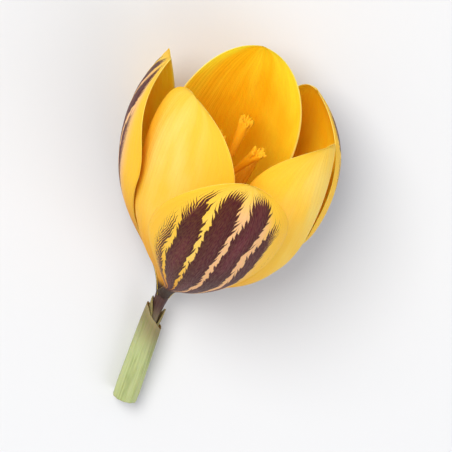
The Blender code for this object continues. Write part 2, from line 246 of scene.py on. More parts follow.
class Skin:
    """Points, faces and marks that are gathered before they become one mesh."""

    def __init__(self) -> None:
        """Start empty."""
        self.points: list[Array] = []
        self.faces: list[tuple[int, ...]] = []
        self.slots: list[int] = []
        self.marks: dict[str, list[Array]] = {}
        self.count = 0

    def lay(self, points: Array, **marks: Array) -> Array:
        """Add a grid of points.

        Args:
            points: The points, with their three coordinates last.
            **marks: Values for the same grid that the finishes read by name.

        Returns:
            The new points' numbers, in the grid's own shape.
        """
        shape = points.shape[:-1]
        amount = int(np.prod(shape))
        self.points.append(points.reshape(-1, 3))
        for name, values in marks.items():
            self.marks.setdefault(name, []).append(np.broadcast_to(values, shape).reshape(-1))
        first = self.count
        self.count += amount
        return np.arange(first, self.count).reshape(shape)

    def weave(self, grid: Array, slot: int = 0, around: bool = False, flip: bool = False) -> None:
        """Join a grid of points with four-sided faces.

        Args:
            grid: The points' numbers, in rows and columns.
            slot: The material slot of the faces.
            around: Whether the last column joins the first.
            flip: Whether the faces look the other way.
        """
        left, right = (grid, np.roll(grid, -1, axis=1)) if around else (grid[:, :-1], grid[:, 1:])
        corners = (left[:-1], right[:-1], right[1:], left[1:])
        if flip:
            corners = corners[::-1]
        self.add(np.stack([corner.ravel() for corner in corners], axis=-1), slot)

    def fan(self, ring: Array, hub: int, slot: int = 0, around: bool = False, flip: bool = False) -> None:
        """Close a row of points with triangles to one hub point.

        Args:
            ring: The row's numbers.
            hub: The hub point's number.
            slot: The material slot of the faces.
            around: Whether the last point joins the first.
            flip: Whether the faces look the other way.
        """
        following = np.roll(ring, -1) if around else ring[1:]
        leading = ring if around else ring[:-1]
        pair = (following, leading) if flip else (leading, following)
        self.add(np.stack([pair[0], pair[1], np.full(len(leading), hub)], axis=-1), slot)

    def add(self, faces: Array, slot: int) -> None:
        """Add faces, all in one material slot."""
        self.faces += [tuple(int(corner) for corner in face) for face in faces]
        self.slots += [slot] * len(faces)

    def close_sheet(
        self,
        faces: Sequence[tuple[Array, int]],
        slots: tuple[int, int] = (0, 0),
        flip: bool = False,
    ) -> None:
        """Join a sheet's two faces into one closed skin with a rim.

        Args:
            faces: The outer face and the inner face, each as its grid of points and its tip.
            slots: The material slots of the outer face, and of the inner face with the rim.
            flip: Whether the sheet's columns run the other way.
        """
        rims = []
        for (grid, tip), slot, turned in zip(faces, slots, (flip, not flip)):
            self.weave(grid, slot, flip=turned)
            self.fan(grid[-1], tip, slot, flip=turned)
            rims.append(np.concatenate([grid[::-1, 0], grid[0, 1:], grid[1:, -1], [tip]]))
        self.weave(np.stack(rims), slots[1], around=True, flip=not flip)

    def rod(self, points: Array, along: Array, ends: tuple[float, float], flip: bool = False) -> None:
        """Add a closed rod.

        Args:
            points: Its rings of points, one after another, with their three coordinates last.
            along: Each point's place along the rod.
            ends: The same for the hubs that close its two ends.
            flip: Whether the rings run the other way round.
        """
        grid = self.lay(points, along=along)
        middles = np.stack([points[0].mean(axis=0), points[-1].mean(axis=0)])
        hubs = self.lay(middles, along=np.array(ends))
        self.weave(grid, around=True, flip=flip)
        self.fan(grid[0], int(hubs[0]), around=True, flip=not flip)
        self.fan(grid[-1], int(hubs[1]), around=True, flip=flip)

    def pipe(self, rings: tuple[StemLine, Array, Array], radii: tuple[Array, Array], along: Array) -> None:
        """Add a hollow pipe round the stem, closed at both ends.

        Args:
            rings: The stem, and each point's distance down it and angle round it.
            radii: The radii of the outer and of the inner wall.
            along: Each point's place along the pipe.
        """
        stem, distance, angle = rings
        marks = {"along": along, "side": np.cos(angle), "front": np.sin(angle)}
        outside, inside = [self.lay(stem.wall(distance, angle, radius), **marks) for radius in radii]
        self.weave(outside, around=True, flip=True)
        self.weave(inside, around=True)
        self.weave(np.stack([outside[0], inside[0]]), around=True)
        self.weave(np.stack([outside[-1], inside[-1]]), around=True, flip=True)

    def become(
        self, name: str, posture: Posture, materials: Sequence[bpy.types.Material]
    ) -> bpy.types.Object:
        """Make the object.

        Args:
            name: The object's name.
            posture: Lays the points down.
            materials: The finishes, in the order of the faces' slots.

        Returns:
            The new object, linked to the scene.
        """
        mesh = bpy.data.meshes.new(name)
        mesh.from_pydata(posture.place(np.concatenate(self.points)).tolist(), [], self.faces)
        for material in materials:
            mesh.materials.append(material)
        mesh.polygons.foreach_set("material_index", self.slots)
        for label, values in self.marks.items():
            layer = mesh.attributes.new(label, "FLOAT", "POINT")
            layer.data.foreach_set("value", np.concatenate(values).astype(np.float32))
        mesh.shade_smooth()
        mesh.update()
        piece = bpy.data.objects.new(name, mesh)
        bpy.context.scene.collection.objects.link(piece)
        return piece


def stand_for(piece: bpy.types.Object, node: str) -> bpy.types.Object:
    """Tie a finished piece to the CAD part, and report it.

    Args:
        piece: The finished piece.
        node: The CAD node that it stands for.

    Returns:
        The same piece.
    """
    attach(piece, BODY)
    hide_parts(node)
    LOG.info("%s: %d faces, stands for %s", piece.name, len(piece.data.polygons), node)
    return piece


# Shader tools


@dataclass(frozen=True)
class Field:
    """A value that changes over a surface: a node's output, worked with like a number."""

    board: "Board"
    socket: bpy.types.NodeSocket

    def __add__(self, other: "Field | float") -> "Field":
        """This value plus another."""
        return self.board.maths("ADD", self, other)

    __radd__ = __add__

    def __sub__(self, other: "Field | float") -> "Field":
        """This value less another."""
        return self.board.maths("SUBTRACT", self, other)

    def __rsub__(self, other: float) -> "Field":
        """A number less this value."""
        return self.board.maths("SUBTRACT", other, self)

    def __mul__(self, other: "Field | float") -> "Field":
        """This value times another."""
        return self.board.maths("MULTIPLY", self, other)

    __rmul__ = __mul__

    def op(self, operation: str, *others: "Field | float") -> "Field":
        """Any other sum of the Math node, with this value first."""
        return self.board.maths(operation, self, *others)

    def ease(self, low: "Field | float", high: "Field | float") -> "Field":
        """A smooth step of this value.

        Args:
            low: Where the step is 0.
            high: Where the step is 1.

        Returns:
            The step, held at 0 and 1 outside the two.
        """
        node = self.board.add("ShaderNodeMapRange", interpolation_type="SMOOTHSTEP", clamp=True)
        self.board.feed(node.inputs["Value"], self)
        self.board.feed(node.inputs["From Min"], low)
        self.board.feed(node.inputs["From Max"], high)
        return Field(self.board, node.outputs["Result"])

    def fade(self, low: "Field | float", high: "Field | float") -> "Field":
        """A smooth step of this value from 1 at low down to 0 at high."""
        return 1.0 - self.ease(low, high)


class Board:
    """A node tree that is being laid out, with short calls for the nodes it needs."""

    WIDE = 12
    PITCH = 190.0

    def __init__(self, tree: bpy.types.NodeTree) -> None:
        """Take the tree."""
        self.tree = tree

    def add(self, kind: str, **settings: object) -> bpy.types.Node:
        """Add a node in the next free place.

        Args:
            kind: The node's type.
            **settings: Its options, by name.

        Returns:
            The new node.
        """
        node = self.tree.nodes.new(kind)
        for name, value in settings.items():
            setattr(node, name, value)
        row, column = divmod(len(self.tree.nodes), self.WIDE)
        node.location = (column * self.PITCH, -row * self.PITCH)
        return node

    def feed(self, socket: bpy.types.NodeSocket, value: "Field | float | Sequence[float]") -> None:
        """Give a socket its value.

        Args:
            socket: The socket.
            value: A field to link to it, or a plain value to set it to.
        """
        if isinstance(value, Field):
            self.tree.links.new(value.socket, socket)
        elif isinstance(value, (int, float)):
            socket.default_value = value
        else:
            socket.default_value = (*value, 1.0) if socket.type == "RGBA" else tuple(value)

    def maths(self, operation: str, *values: "Field | float") -> Field:
        """One Math node.

        Args:
            operation: What the node does.
            *values: Its inputs, in order.

        Returns:
            Its result.
        """
        node = self.add("ShaderNodeMath", operation=operation)
        for socket, value in zip(node.inputs, values):
            self.feed(socket, value)
        return Field(self, node.outputs[0])

    def mark(self, name: str) -> Field:
        """A mark that the mesh carries."""
        return Field(self, self.add("ShaderNodeAttribute", attribute_name=name).outputs["Fac"])

    def vector(self, x: "Field | float", y: "Field | float", z: "Field | float" = 0.0) -> Field:
        """Three values as one vector.

        Args:
            x: The first value.
            y: The second value.
            z: The third value.

        Returns:
            The vector.
        """
        node = self.add("ShaderNodeCombineXYZ")
        for socket, value in zip(node.inputs, (x, y, z)):
            self.feed(socket, value)
        return Field(self, node.outputs["Vector"])

    def place_mm(self) -> Field:
        """The place on the flower.

        Returns:
            The place, in millimetres.
        """
        spot = self.add("ShaderNodeTexCoord").outputs["Object"]
        scale = self.add("ShaderNodeVectorMath", operation="SCALE")
        self.tree.links.new(spot, scale.inputs[0])
        scale.inputs["Scale"].default_value = 1.0 / MM
        return Field(self, scale.outputs["Vector"])

    def noise(self, where: Field, scale: float = 1.0, detail: float = 2.0) -> Field:
        """Smooth noise between 0 and 1, about 0.5.

        Args:
            where: The place that it is read at.
            scale: How fine it is.
            detail: How many finer layers it has.

        Returns:
            The noise.
        """
        node = self.add("ShaderNodeTexNoise")
        self.feed(node.inputs["Vector"], where)
        node.inputs["Scale"].default_value = scale
        node.inputs["Detail"].default_value = detail
        return Field(self, node.outputs["Fac"])

    def patches(self, along: Field, across: Field, pace: Span, seed: Field) -> Field:
        """Smooth noise between 0 and 1 over a piece; pace is how fast it changes along and across."""
        return self.noise(self.vector(along * pace[0], across * pace[1], seed))

    def chance(self, *values: "Field | float") -> Field:
        """A chance number.

        Args:
            *values: Up to three values that pick it.

        Returns:
            A number from 0 to 1 that is the same for the same values.
        """
        node = self.add("ShaderNodeTexWhiteNoise", noise_dimensions="3D")
        padded = (*values, 0.0, 0.0)
        self.feed(node.inputs["Vector"], self.vector(*padded[:3]))
        return Field(self, node.outputs["Value"])

    def blend(
        self,
        amount: "Field | float",
        first: "Field | Sequence[float]",
        second: "Field | Sequence[float]",
    ) -> Field:
        """A mix of two colours.

        Args:
            amount: How far the first has turned into the second, from 0 to 1.
            first: The colour at 0.
            second: The colour at 1.

        Returns:
            The mixed colour.
        """
        node = self.add("ShaderNodeMix", data_type="RGBA")
        self.feed(node.inputs["Factor"], amount)
        colours = [socket for socket in node.inputs if socket.type == "RGBA"]
        self.feed(colours[0], first)
        self.feed(colours[1], second)
        return Field(self, next(socket for socket in node.outputs if socket.type == "RGBA"))

    def relief(self, height: Field, depth_mm: float) -> Field:
        """The normal of a surface with a relief.

        Args:
            height: The relief's height, about 0 to 1.
            depth_mm: What a height of 1 stands for.

        Returns:
            The normal.
        """
        node = self.add("ShaderNodeBump")
        node.inputs["Distance"].default_value = depth_mm * MM
        self.feed(node.inputs["Height"], height)
        return Field(self, node.outputs["Normal"])


class Effect:
    """A shader node group that several finishes share. Each kind says what it takes and what it gives."""

    name: ClassVar[str] = ""
    takes: ClassVar[dict[str, float]] = {}
    gives: ClassVar[tuple[str, ...]] = ()

    @classmethod
    def lay_out(cls, board: Board, given: dict[str, Field]) -> dict[str, Field]:
        """Lay the group's nodes out, and give its outputs by name."""
        raise NotImplementedError

    @classmethod
    def tree(cls) -> bpy.types.NodeTree:
        """The group's tree.

        Returns:
            The tree, built the first time it is asked for.
        """
        made = bpy.data.node_groups.get(cls.name)
        if made is not None:
            return made
        tree = bpy.data.node_groups.new(cls.name, "ShaderNodeTree")
        for label, value in cls.takes.items():
            socket = tree.interface.new_socket(label, in_out="INPUT", socket_type="NodeSocketFloat")
            socket.default_value = value
        for label in cls.gives:
            tree.interface.new_socket(label, in_out="OUTPUT", socket_type="NodeSocketFloat")
        board = Board(tree)
        way_in = board.add("NodeGroupInput")
        way_out = board.add("NodeGroupOutput")
        given = {label: Field(board, way_in.outputs[label]) for label in cls.takes}
        for label, result in cls.lay_out(board, given).items():
            board.feed(way_out.inputs[label], result)
        return tree

    @classmethod
    def put(cls, board: Board, **values: "Field | float") -> tuple[Field, ...]:
        """Place the group in a material.

        Args:
            board: The material's board.
            **values: The group's inputs, by name.

        Returns:
            The group's outputs, in the order that it gives them.
        """
        node = board.add("ShaderNodeGroup", node_tree=cls.tree())
        for label, value in values.items():
            board.feed(node.inputs[label], value)
        return tuple(Field(board, node.outputs[label]) for label in cls.gives)


class PetalVeins(Effect):
    """Fine veins that fan out from the claw, as a relief and as a thin mask."""

    name = "petal_veins"
    takes = {"Along": 0.0, "Across": 0.0, "Count": 26.0, "Seed": 0.0}
    gives = ("Height", "Line")
    WAVER = 0.09
    WAVER_PACE = (5.0, 2.5)
    PATCH_PACE = (9.0, 7.0)
    FINE_COUNT = 2.7
    FINE_WAVER = 9.0
    COARSE_SHARE = 0.6
    LEAST = (0.45, 0.35)
    LINE_AT = 0.72

    @classmethod
    def lay_out(cls, board: Board, given: dict[str, Field]) -> dict[str, Field]:
        """Waves across the petal that waver along it, with finer waves between them.

        Args:
            board: The group's board.
            given: The group's inputs, by name.

        Returns:
            The group's outputs, by name.
        """
        along, across, count, seed = (given[label] for label in cls.takes)
        waver = board.patches(along, across, cls.WAVER_PACE, seed)
        place = (across + (waver - 0.5) * cls.WAVER) * count
        coarse = (place * math.pi).op("COSINE")
        fine = (place * (cls.FINE_COUNT * math.pi) + waver * cls.FINE_WAVER).op("COSINE")
        patchy = board.patches(along, across, cls.PATCH_PACE, seed + 4.0)
        height_least, line_least = cls.LEAST
        both = coarse * cls.COARSE_SHARE + fine * (1.0 - cls.COARSE_SHARE)
        line = coarse.ease(cls.LINE_AT, 1.0) * (line_least + patchy)
        return {"Height": both * (height_least + patchy), "Line": line}


class FeatheredStripes(Effect):
    """Dark bands up a petal, each with a comb of slanting barbs along both its edges.

    Widths are shares of the distance from one band to the next.
    """

    name = "feathered_stripes"
    takes = {"Along": 0.0, "Across": 0.0, "Rim": 0.0, "Bands": 3.5, "Barbs": 23.0, "Seed": 0.0}
    gives = ("Dark", "Middle")
    SWAY = 0.10
    SWAY_PACE = (3.2, 1.6)
    JITTER_PACE = (30.0, 13.0)
    DRIFT_PACE = (7.0, 3.7)
    SLANT = 11.5
    BARB_WANDER = 1.8
    BARB_OFFSET = 7.0
    CORE = 0.34
    OUTER_THINNING = 0.22
    OUTER_BANDS = (0.36, 0.72)
    TIP = (0.74, 0.97)
    TIP_THINNING = 0.5
    CORE_JITTER = 0.10
    CORE_DRIFT = 0.14
    SHORTEST_BARB = 0.04
    BARB_VARIES = 0.20
    TIP_BARB = 0.16
    BARE_RIM = (0.58, 0.88)
    BARE_TIP = (0.92, 0.99)
    FULLNESS = 1.08
    SOFT_EDGE = (-0.05, 0.09)
    MERGE = (0.05, 0.13)
    MERGE_JITTER = 0.04
    MERGE_BOW = 0.05

    @classmethod
    def lay_out(cls, board: Board, given: dict[str, Field]) -> dict[str, Field]:
        """Find each point's band and barb, and whether the barb covers it.

        Args:
            board: The group's board.
            given: The group's inputs, by name.

        Returns:
            The group's outputs, by name.
        """
        along, across, rim, bands, barbs, seed = (given[label] for label in cls.takes)
        sway = board.patches(along, across, cls.SWAY_PACE, seed) - 0.5
        place = (across + sway * cls.SWAY) * bands
        band = place.op("ROUND")
        off = place - band
        side = off.op("SIGN")
        off = off.op("ABSOLUTE")
        jitter = board.patches(along, across, cls.JITTER_PACE, seed + 9.0) - 0.5
        phase = along * barbs - off * cls.SLANT
        phase = phase + board.chance(band, side, seed) * cls.BARB_OFFSET + jitter * cls.BARB_WANDER
        barb = phase.op("FLOOR")
        within = phase.op("FRACT")
        vigour = board.chance(barb, band, seed + side)
        far_out = across.op("ABSOLUTE")
        outer = far_out.ease(*cls.OUTER_BANDS)
        tip = along.ease(*cls.TIP)
        drift = board.patches(along, band, cls.DRIFT_PACE, seed + 4.0) - 0.5
        core = (cls.CORE - outer * cls.OUTER_THINNING) * (1.0 - tip * cls.TIP_THINNING)
        core = core + jitter * cls.CORE_JITTER + drift * cls.CORE_DRIFT
        reach = core + cls.SHORTEST_BARB + vigour * cls.BARB_VARIES + tip * cls.TIP_BARB
        cover = off.fade(core, reach) * rim.fade(*cls.BARE_RIM)
        cover = cover * along.fade(*cls.BARE_TIP) * cls.FULLNESS
        dark = (cover - within).ease(*cls.SOFT_EDGE)
        merge = (along + jitter * cls.MERGE_JITTER + far_out * cls.MERGE_BOW).fade(*cls.MERGE)
        return {"Dark": dark.op("MAXIMUM", merge), "Middle": off.fade(0.0, 0.5)}


class Mottle(Effect):
    """Soft cloudy patches and fine specks, for depth in a colour."""

    name = "soft_mottle"
    takes = {"Along": 0.0, "Across": 0.0, "Stretch": 3.0, "Seed": 0.0}
    gives = ("Cloud", "Speck")
    CLOUDS_ACROSS = 2.2
    SPECKS_ALONG = 14.0
    SPECKS_ACROSS = 60.0
    CLOUD_EDGE = (0.25, 0.75)
    SPECK_EDGE = (0.3, 0.7)

    @classmethod
    def lay_out(cls, board: Board, given: dict[str, Field]) -> dict[str, Field]:
        """Two noises, drawn out along the piece.

        Args:
            board: The group's board.
            given: The group's inputs, by name.

        Returns:
            The group's outputs, by name.
        """
        along, across, stretch, seed = (given[label] for label in cls.takes)
        cloud = board.noise(board.vector(along * stretch, across * cls.CLOUDS_ACROSS, seed))
        fine_along, fine_across = along * (stretch * cls.SPECKS_ALONG), across * cls.SPECKS_ACROSS
        grain = board.vector(fine_along, fine_across, seed + 3.0)
        speck = board.noise(grain, detail=3.0)
        return {"Cloud": cloud.ease(*cls.CLOUD_EDGE), "Speck": speck.ease(*cls.SPECK_EDGE)}


class Fibres(Effect):
    """Straight fibres that run along a stem or leaf, seamless round it."""

    name = "long_fibres"
    takes = {"Along": 0.0, "Side": 0.0, "Front": 0.0, "Fineness": 9.0, "Seed": 0.0}
    gives = ("Height", "Shade")
    HEIGHT_PACE = 2.0
    SHADE_PACE = 5.0
    SHADE_WIDTH = 0.3
    SHADE_EDGE = (0.3, 0.7)

    @classmethod
    def lay_out(cls, board: Board, given: dict[str, Field]) -> dict[str, Field]:
        """Noise that is long in the piece's direction and narrow round it.

        Args:
            board: The group's board.
            given: The group's inputs, by name.

        Returns:
            The group's outputs, by name.
        """
        along, side, front, fineness, seed = (given[label] for label in cls.takes)
        side, front = side * fineness, front * fineness
        where = board.vector(side, front, along * cls.HEIGHT_PACE + seed)
        height = board.noise(where, detail=3.0)
        side, front = side * cls.SHADE_WIDTH, front * cls.SHADE_WIDTH
        shade = board.noise(board.vector(side, front, along * cls.SHADE_PACE + seed))
        return {"Height": height, "Shade": shade.ease(*cls.SHADE_EDGE)}


@dataclass(frozen=True)
class Finish:
    """What every finish of the flower has: a name, its gloss, its relief and how light soaks into it."""

    label: str
    roughness: float = 0.58
    relief_mm: float = 0.018
    soak: float = 0.18
    soak_radius: Colour = (1.0, 0.55, 0.12)
    soak_mm: float = 0.6
    shine: float = 0.14
    uneven: float = 0.14

    def start(self) -> tuple[Board, bpy.types.Node, bpy.types.Material]:
        """Begin the material.

        Returns:
            The board to lay its nodes on, its shader with the plain settings made, and the material.
        """
        material = bpy.data.materials.new(self.label)
        material.use_nodes = True
        board = Board(material.node_tree)
        shader = material.node_tree.nodes["Principled BSDF"]
        plain = {
            "Subsurface Weight": self.soak,
            "Subsurface Radius": self.soak_radius,
            "Subsurface Scale": self.soak_mm * MM,
            "Specular IOR Level": self.shine,
        }
        for name, value in plain.items():
            shader.inputs[name].default_value = value
        return board, shader, material

    def complete(
        self, board: Board, shader: bpy.types.Node, colour: Field, rough: Field, height: Field
    ) -> None:
        """Feed the shader what changes over the surface.

        Args:
            board: The material's board.
            shader: The material's shader.
            colour: The colour.
            rough: The roughness.
            height: The relief's height.
        """
        board.feed(shader.inputs["Base Color"], colour)
        board.feed(shader.inputs["Roughness"], rough)
        board.feed(shader.inputs["Normal"], board.relief(height, self.relief_mm))


@dataclass(frozen=True)
class PetalFinish(Finish):
    """What a petal's two sides share: veins, clouds and specks, and how strongly they show."""

    seed: float = 0.0
    rim_share: float = 0.7
    speck_relief: float = 0.3

    def surface(self, board: Board, shift: float = 0.0) -> tuple[Field, ...]:
        """Read the petal's marks and place its veins and its mottle.

        Args:
            board: The material's board.
            shift: Moves both patterns on, so that the two sides differ.

        Returns:
            The place along and across, the vein relief and lines, and the clouds and specks.
        """
        along, across = board.mark("along"), board.mark("across")
        vein, line = PetalVeins.put(board, Along=along, Across=across, Seed=self.seed + shift)
        cloud, speck = Mottle.put(board, Along=along, Across=across, Seed=self.seed + shift)
        return along, across, vein, line, cloud, speck


@dataclass(frozen=True)
class PetalOutside(PetalFinish):
    """A petal's outside: gold at the foot, lemon in the blade with painted highlights, paler at the rim,
    striped or plain. The turn from gold to lemon is partly the petal's own colour and partly painted light,
    lighter towards the tips; a striped petal's burnt-orange foot is partly painted shade.

    Spans along run from 0 at the claw to 1 at the tip, and spans across from 0 in the middle to 1
    at the rim.
    """

    foot: Colour = tint(244, 166, 34)
    blade: Colour = tint(250, 194, 52)
    # The pale lemon of the painted highlights on the blade.
    painted_highlight: Colour = tint(250, 216, 112)
    rim: Colour = tint(252, 192, 50)
    claw: Colour = tint(70, 50, 40)
    claw_reach: float = 0.07
    claw_solid: float = 0.4
    claw_ragged: float = 0.02
    vein_share: float = 0.10
    blade_from: Span = (0.10, 0.62)
    highlight_across: Span = (0.15, 0.95)
    highlight_along: Span = (0.25, 0.7)
    rim_across: Span = (0.72, 1.0)
    rim_along: Span = (0.88, 1.0)
    rim_at_tip: float = 0.6
    striped: bool = False
    stripe_scale: float = 1.0
    stripe_shift: float = 0.0
    stripe_narrowing: float = 0.60
    narrows_along: Span = (0.58, 1.0)
    bare_rim: float = 1.0
    stripe: Colour = tint(62, 8, 20)
    stripe_bloom: Colour = tint(100, 34, 48)
    stripe_vein_share: float = 0.4
    stripe_cover: Span = (0.94, 0.06)
    stripe_gloss: float = 0.08
    between: Colour = tint(240, 184, 140)
    between_share: float = 0.8
    between_side: Span = (-0.30, 0.0)
    between_across: Span = (0.45, 0.75)
    between_along: Span = (0.84, 0.99)
    # Burnt orange at a striped petal's foot: partly its own tone, partly painted shade.
    foot_tone_and_shade: Colour = tint(190, 108, 34)
    foot_shade_share: float = 0.65
    foot_shade_along: Span = (0.12, 0.40)

    def material(self) -> bpy.types.Material:
        """Lay the finish out.

        Returns:
            The material.
        """
        board, shader, material = self.start()
        along, across, vein, line, cloud, speck = self.surface(board)
        far_out = across.op("ABSOLUTE")
        # Gold at the foot to lemon in the blade: partly the petal's own colour, partly painted light that
        # makes the blade lighter towards the tips.
        colour = board.blend(along.ease(*self.blade_from), self.foot, self.blade)
        # Painted highlights: pale lemon patches on the blade, away from the rim and towards the tip.
        lit = cloud * far_out.fade(*self.highlight_across) * along.ease(*self.highlight_along)
        colour = board.blend(lit, colour, self.painted_highlight)
        edge = far_out.ease(*self.rim_across) + along.ease(*self.rim_along) * self.rim_at_tip
        colour = board.blend(edge.op("MINIMUM", 1.0) * self.rim_share, colour, self.rim)
        colour = board.blend(line * self.vein_share, colour, self.foot)
        rough = self.roughness + (speck - 0.5) * self.uneven
        ragged = along + (speck - 0.5) * self.claw_ragged
        foot_dark = ragged.fade(self.claw_reach * self.claw_solid, self.claw_reach)
        if self.striped:
            # Partly painted shade: a striped petal's foot turns burnt orange towards the claw.
            foot_shaded = along.fade(*self.foot_shade_along) * self.foot_shade_share
            colour = board.blend(foot_shaded, colour, self.foot_tone_and_shade)
            narrowing = 1.0 - along.ease(*self.narrows_along) * self.stripe_narrowing
            placed = across * narrowing * self.stripe_scale + self.stripe_shift
            rim = far_out * self.bare_rim
            dark, middle = FeatheredStripes.put(
                board, Along=along, Across=placed, Rim=rim, Seed=self.seed
            )
            pale = across.ease(*self.between_side) * far_out.fade(*self.between_across)
            pale = pale * along.fade(*self.between_along)
            colour = board.blend(pale * self.between_share, colour, self.between)
            purple = board.blend(middle * cloud, self.stripe, self.stripe_bloom)
            purple = board.blend(line * self.stripe_vein_share, purple, self.stripe)
            least, rest = self.stripe_cover
            colour = board.blend(dark * (least + speck * rest), colour, purple)
            rough = rough - dark * self.stripe_gloss
        colour = board.blend(foot_dark, colour, self.claw)
        self.complete(board, shader, colour, rough, vein + speck * self.speck_relief)
        return material


@dataclass(frozen=True)
class PetalInside(PetalFinish):
    """A petal's inside: deep orange in the middle and throat, yellow towards a thin pale rim."""

    soak: float = 0.4
    throat: Colour = tint(252, 164, 10)
    deep: Colour = tint(255, 182, 10)
    margin: Colour = tint(255, 226, 50)
    rim: Colour = tint(255, 232, 130)
    throat_along: Span = (0.08, 0.42)
    margin_across: Span = (0.25, 0.95)
    margin_along: Span = (0.15, 0.5)
    margin_share: float = 0.45
    cloud_share: float = 0.55
    deep_clouds: Span = (0.2, 0.7)
    deep_along: Span = (0.5, 0.95)
    deep_share: float = 0.5
    vein_share: float = 0.06
    rim_across: Span = (0.955, 1.0)

    def material(self) -> bpy.types.Material:
        """Lay the finish out.

        Returns:
            The material.
        """
        board, shader, material = self.start()
        along, across, vein, line, cloud, speck = self.surface(board, shift=1.5)
        far_out = across.op("ABSOLUTE")
        colour = board.blend(along.ease(*self.throat_along), self.throat, self.deep)
        wide = far_out.ease(*self.margin_across) * along.ease(*self.margin_along)
        colour = board.blend(wide * self.margin_share + cloud * self.cloud_share, colour, self.margin)
        deeper = cloud.fade(*self.deep_clouds) * along.ease(*self.deep_along) * self.deep_share
        colour = board.blend(deeper, colour, self.deep)
        colour = board.blend(line * self.vein_share, colour, self.throat)
        colour = board.blend(far_out.ease(*self.rim_across) * self.rim_share, colour, self.rim)
        rough = self.roughness + (speck - 0.5) * self.uneven
        self.complete(board, shader, colour, rough, vein + speck * self.speck_relief)
        return material


@dataclass(frozen=True)
class StemSkin(Finish):
    """The skin of a tube, sheath or bract: one colour low down, another high up, with fibres along it."""

    low: Colour = tint(150, 140, 120)
    high: Colour = tint(90, 64, 72)
    fibre: Colour = tint(120, 96, 92)
    edge: Colour = tint(200, 190, 150)
    uneven: float = 0.16
    turn_at: Span = (0.2, 0.9)
    fibre_at: Span = (0.42, 0.66)
    fibre_share: float = 0.5
    fibre_least: float = 0.4
    fineness: float = 9.0
    edge_at: Span = (0.9, 1.0)
    edge_share: float = 0.0
    seed: float = 0.0

    def material(self) -> bpy.types.Material:
        """Lay the finish out.

        Returns:
            The material.
        """
        board, shader, material = self.start()
        along, side, front = board.mark("along"), board.mark("side"), board.mark("front")
        height, shade = Fibres.put(
            board, Along=along, Side=side, Front=front, Fineness=self.fineness, Seed=self.seed
        )
        colour = board.blend(along.ease(*self.turn_at), self.low, self.high)
        shown = self.fibre_least + shade * (1.0 - self.fibre_least)
        streak = height.ease(*self.fibre_at) * shown * self.fibre_share
        colour = board.blend(streak, colour, self.fibre)
        colour = board.blend(along.ease(*self.edge_at) * self.edge_share, colour, self.edge)
        self.complete(board, shader, colour, self.roughness + (shade - 0.5) * self.uneven, height)
        return material


@dataclass(frozen=True)
class GrainySkin(Finish):
    """The skin of a stamen or stigma: a stalk, and a head that is grainy with pollen."""

    stalk: Colour = tint(240, 170, 60)
    head: Colour = tint(255, 190, 40)
    grain: Colour = tint(255, 224, 96)
    turn_at: Span = (0.38, 0.46)
    grain_per_mm: float = 5.0
    grain_share: float = 0.6
    grain_at: Span = (0.5, 0.9)
    patch_per_mm: float = 0.9
    patch_at: Span = (0.3, 0.62)
    dust_roughness: float = 0.2
    stalk_relief: float = 0.15

    def material(self) -> bpy.types.Material:
        """Lay the finish out.

        Returns:
            The material.
        """
        board, shader, material = self.start()
        along = board.mark("along")
        spot = board.place_mm()
        node = board.add("ShaderNodeTexVoronoi")
        board.feed(node.inputs["Vector"], spot)
        node.inputs["Scale"].default_value = self.grain_per_mm
        lump = 1.0 - Field(board, node.outputs["Distance"])
        patch = board.noise(spot, self.patch_per_mm)
        head = along.ease(*self.turn_at)
        colour = board.blend(head, self.stalk, self.head)
        dusted = head * lump.ease(*self.grain_at) * patch.ease(*self.patch_at) * self.grain_share
        colour = board.blend(dusted, colour, self.grain)
        rough = self.roughness + dusted * self.dust_roughness
        height = lump * (self.stalk_relief + head * (1.0 - self.stalk_relief))
        self.complete(board, shader, colour, rough, height)
        return material


# The flower's pieces


class PetalKind(Enum):
    """The two whorls of petals."""

    OUTER = "striped_petal"
    INNER = "plain_petal"


@dataclass(frozen=True)
class Claw:
    """How a whorl's petals start.

    The ring is the claws' distance from the axis above the throat, and the drawn ring the one where they
    meet the tube. The dark reach is how far up the petal the dark colour of its foot goes.
    """

    ring: float
    half_width: float
    curl: float
    drawn_ring: float
    dark_reach: float


CLAWS = {
    PetalKind.OUTER: Claw(ring=2.4, half_width=0.85, curl=2.4, drawn_ring=1.22, dark_reach=0.10),
    PetalKind.INNER: Claw(ring=1.5, half_width=0.80, curl=1.8, drawn_ring=1.02, dark_reach=0.06),
}


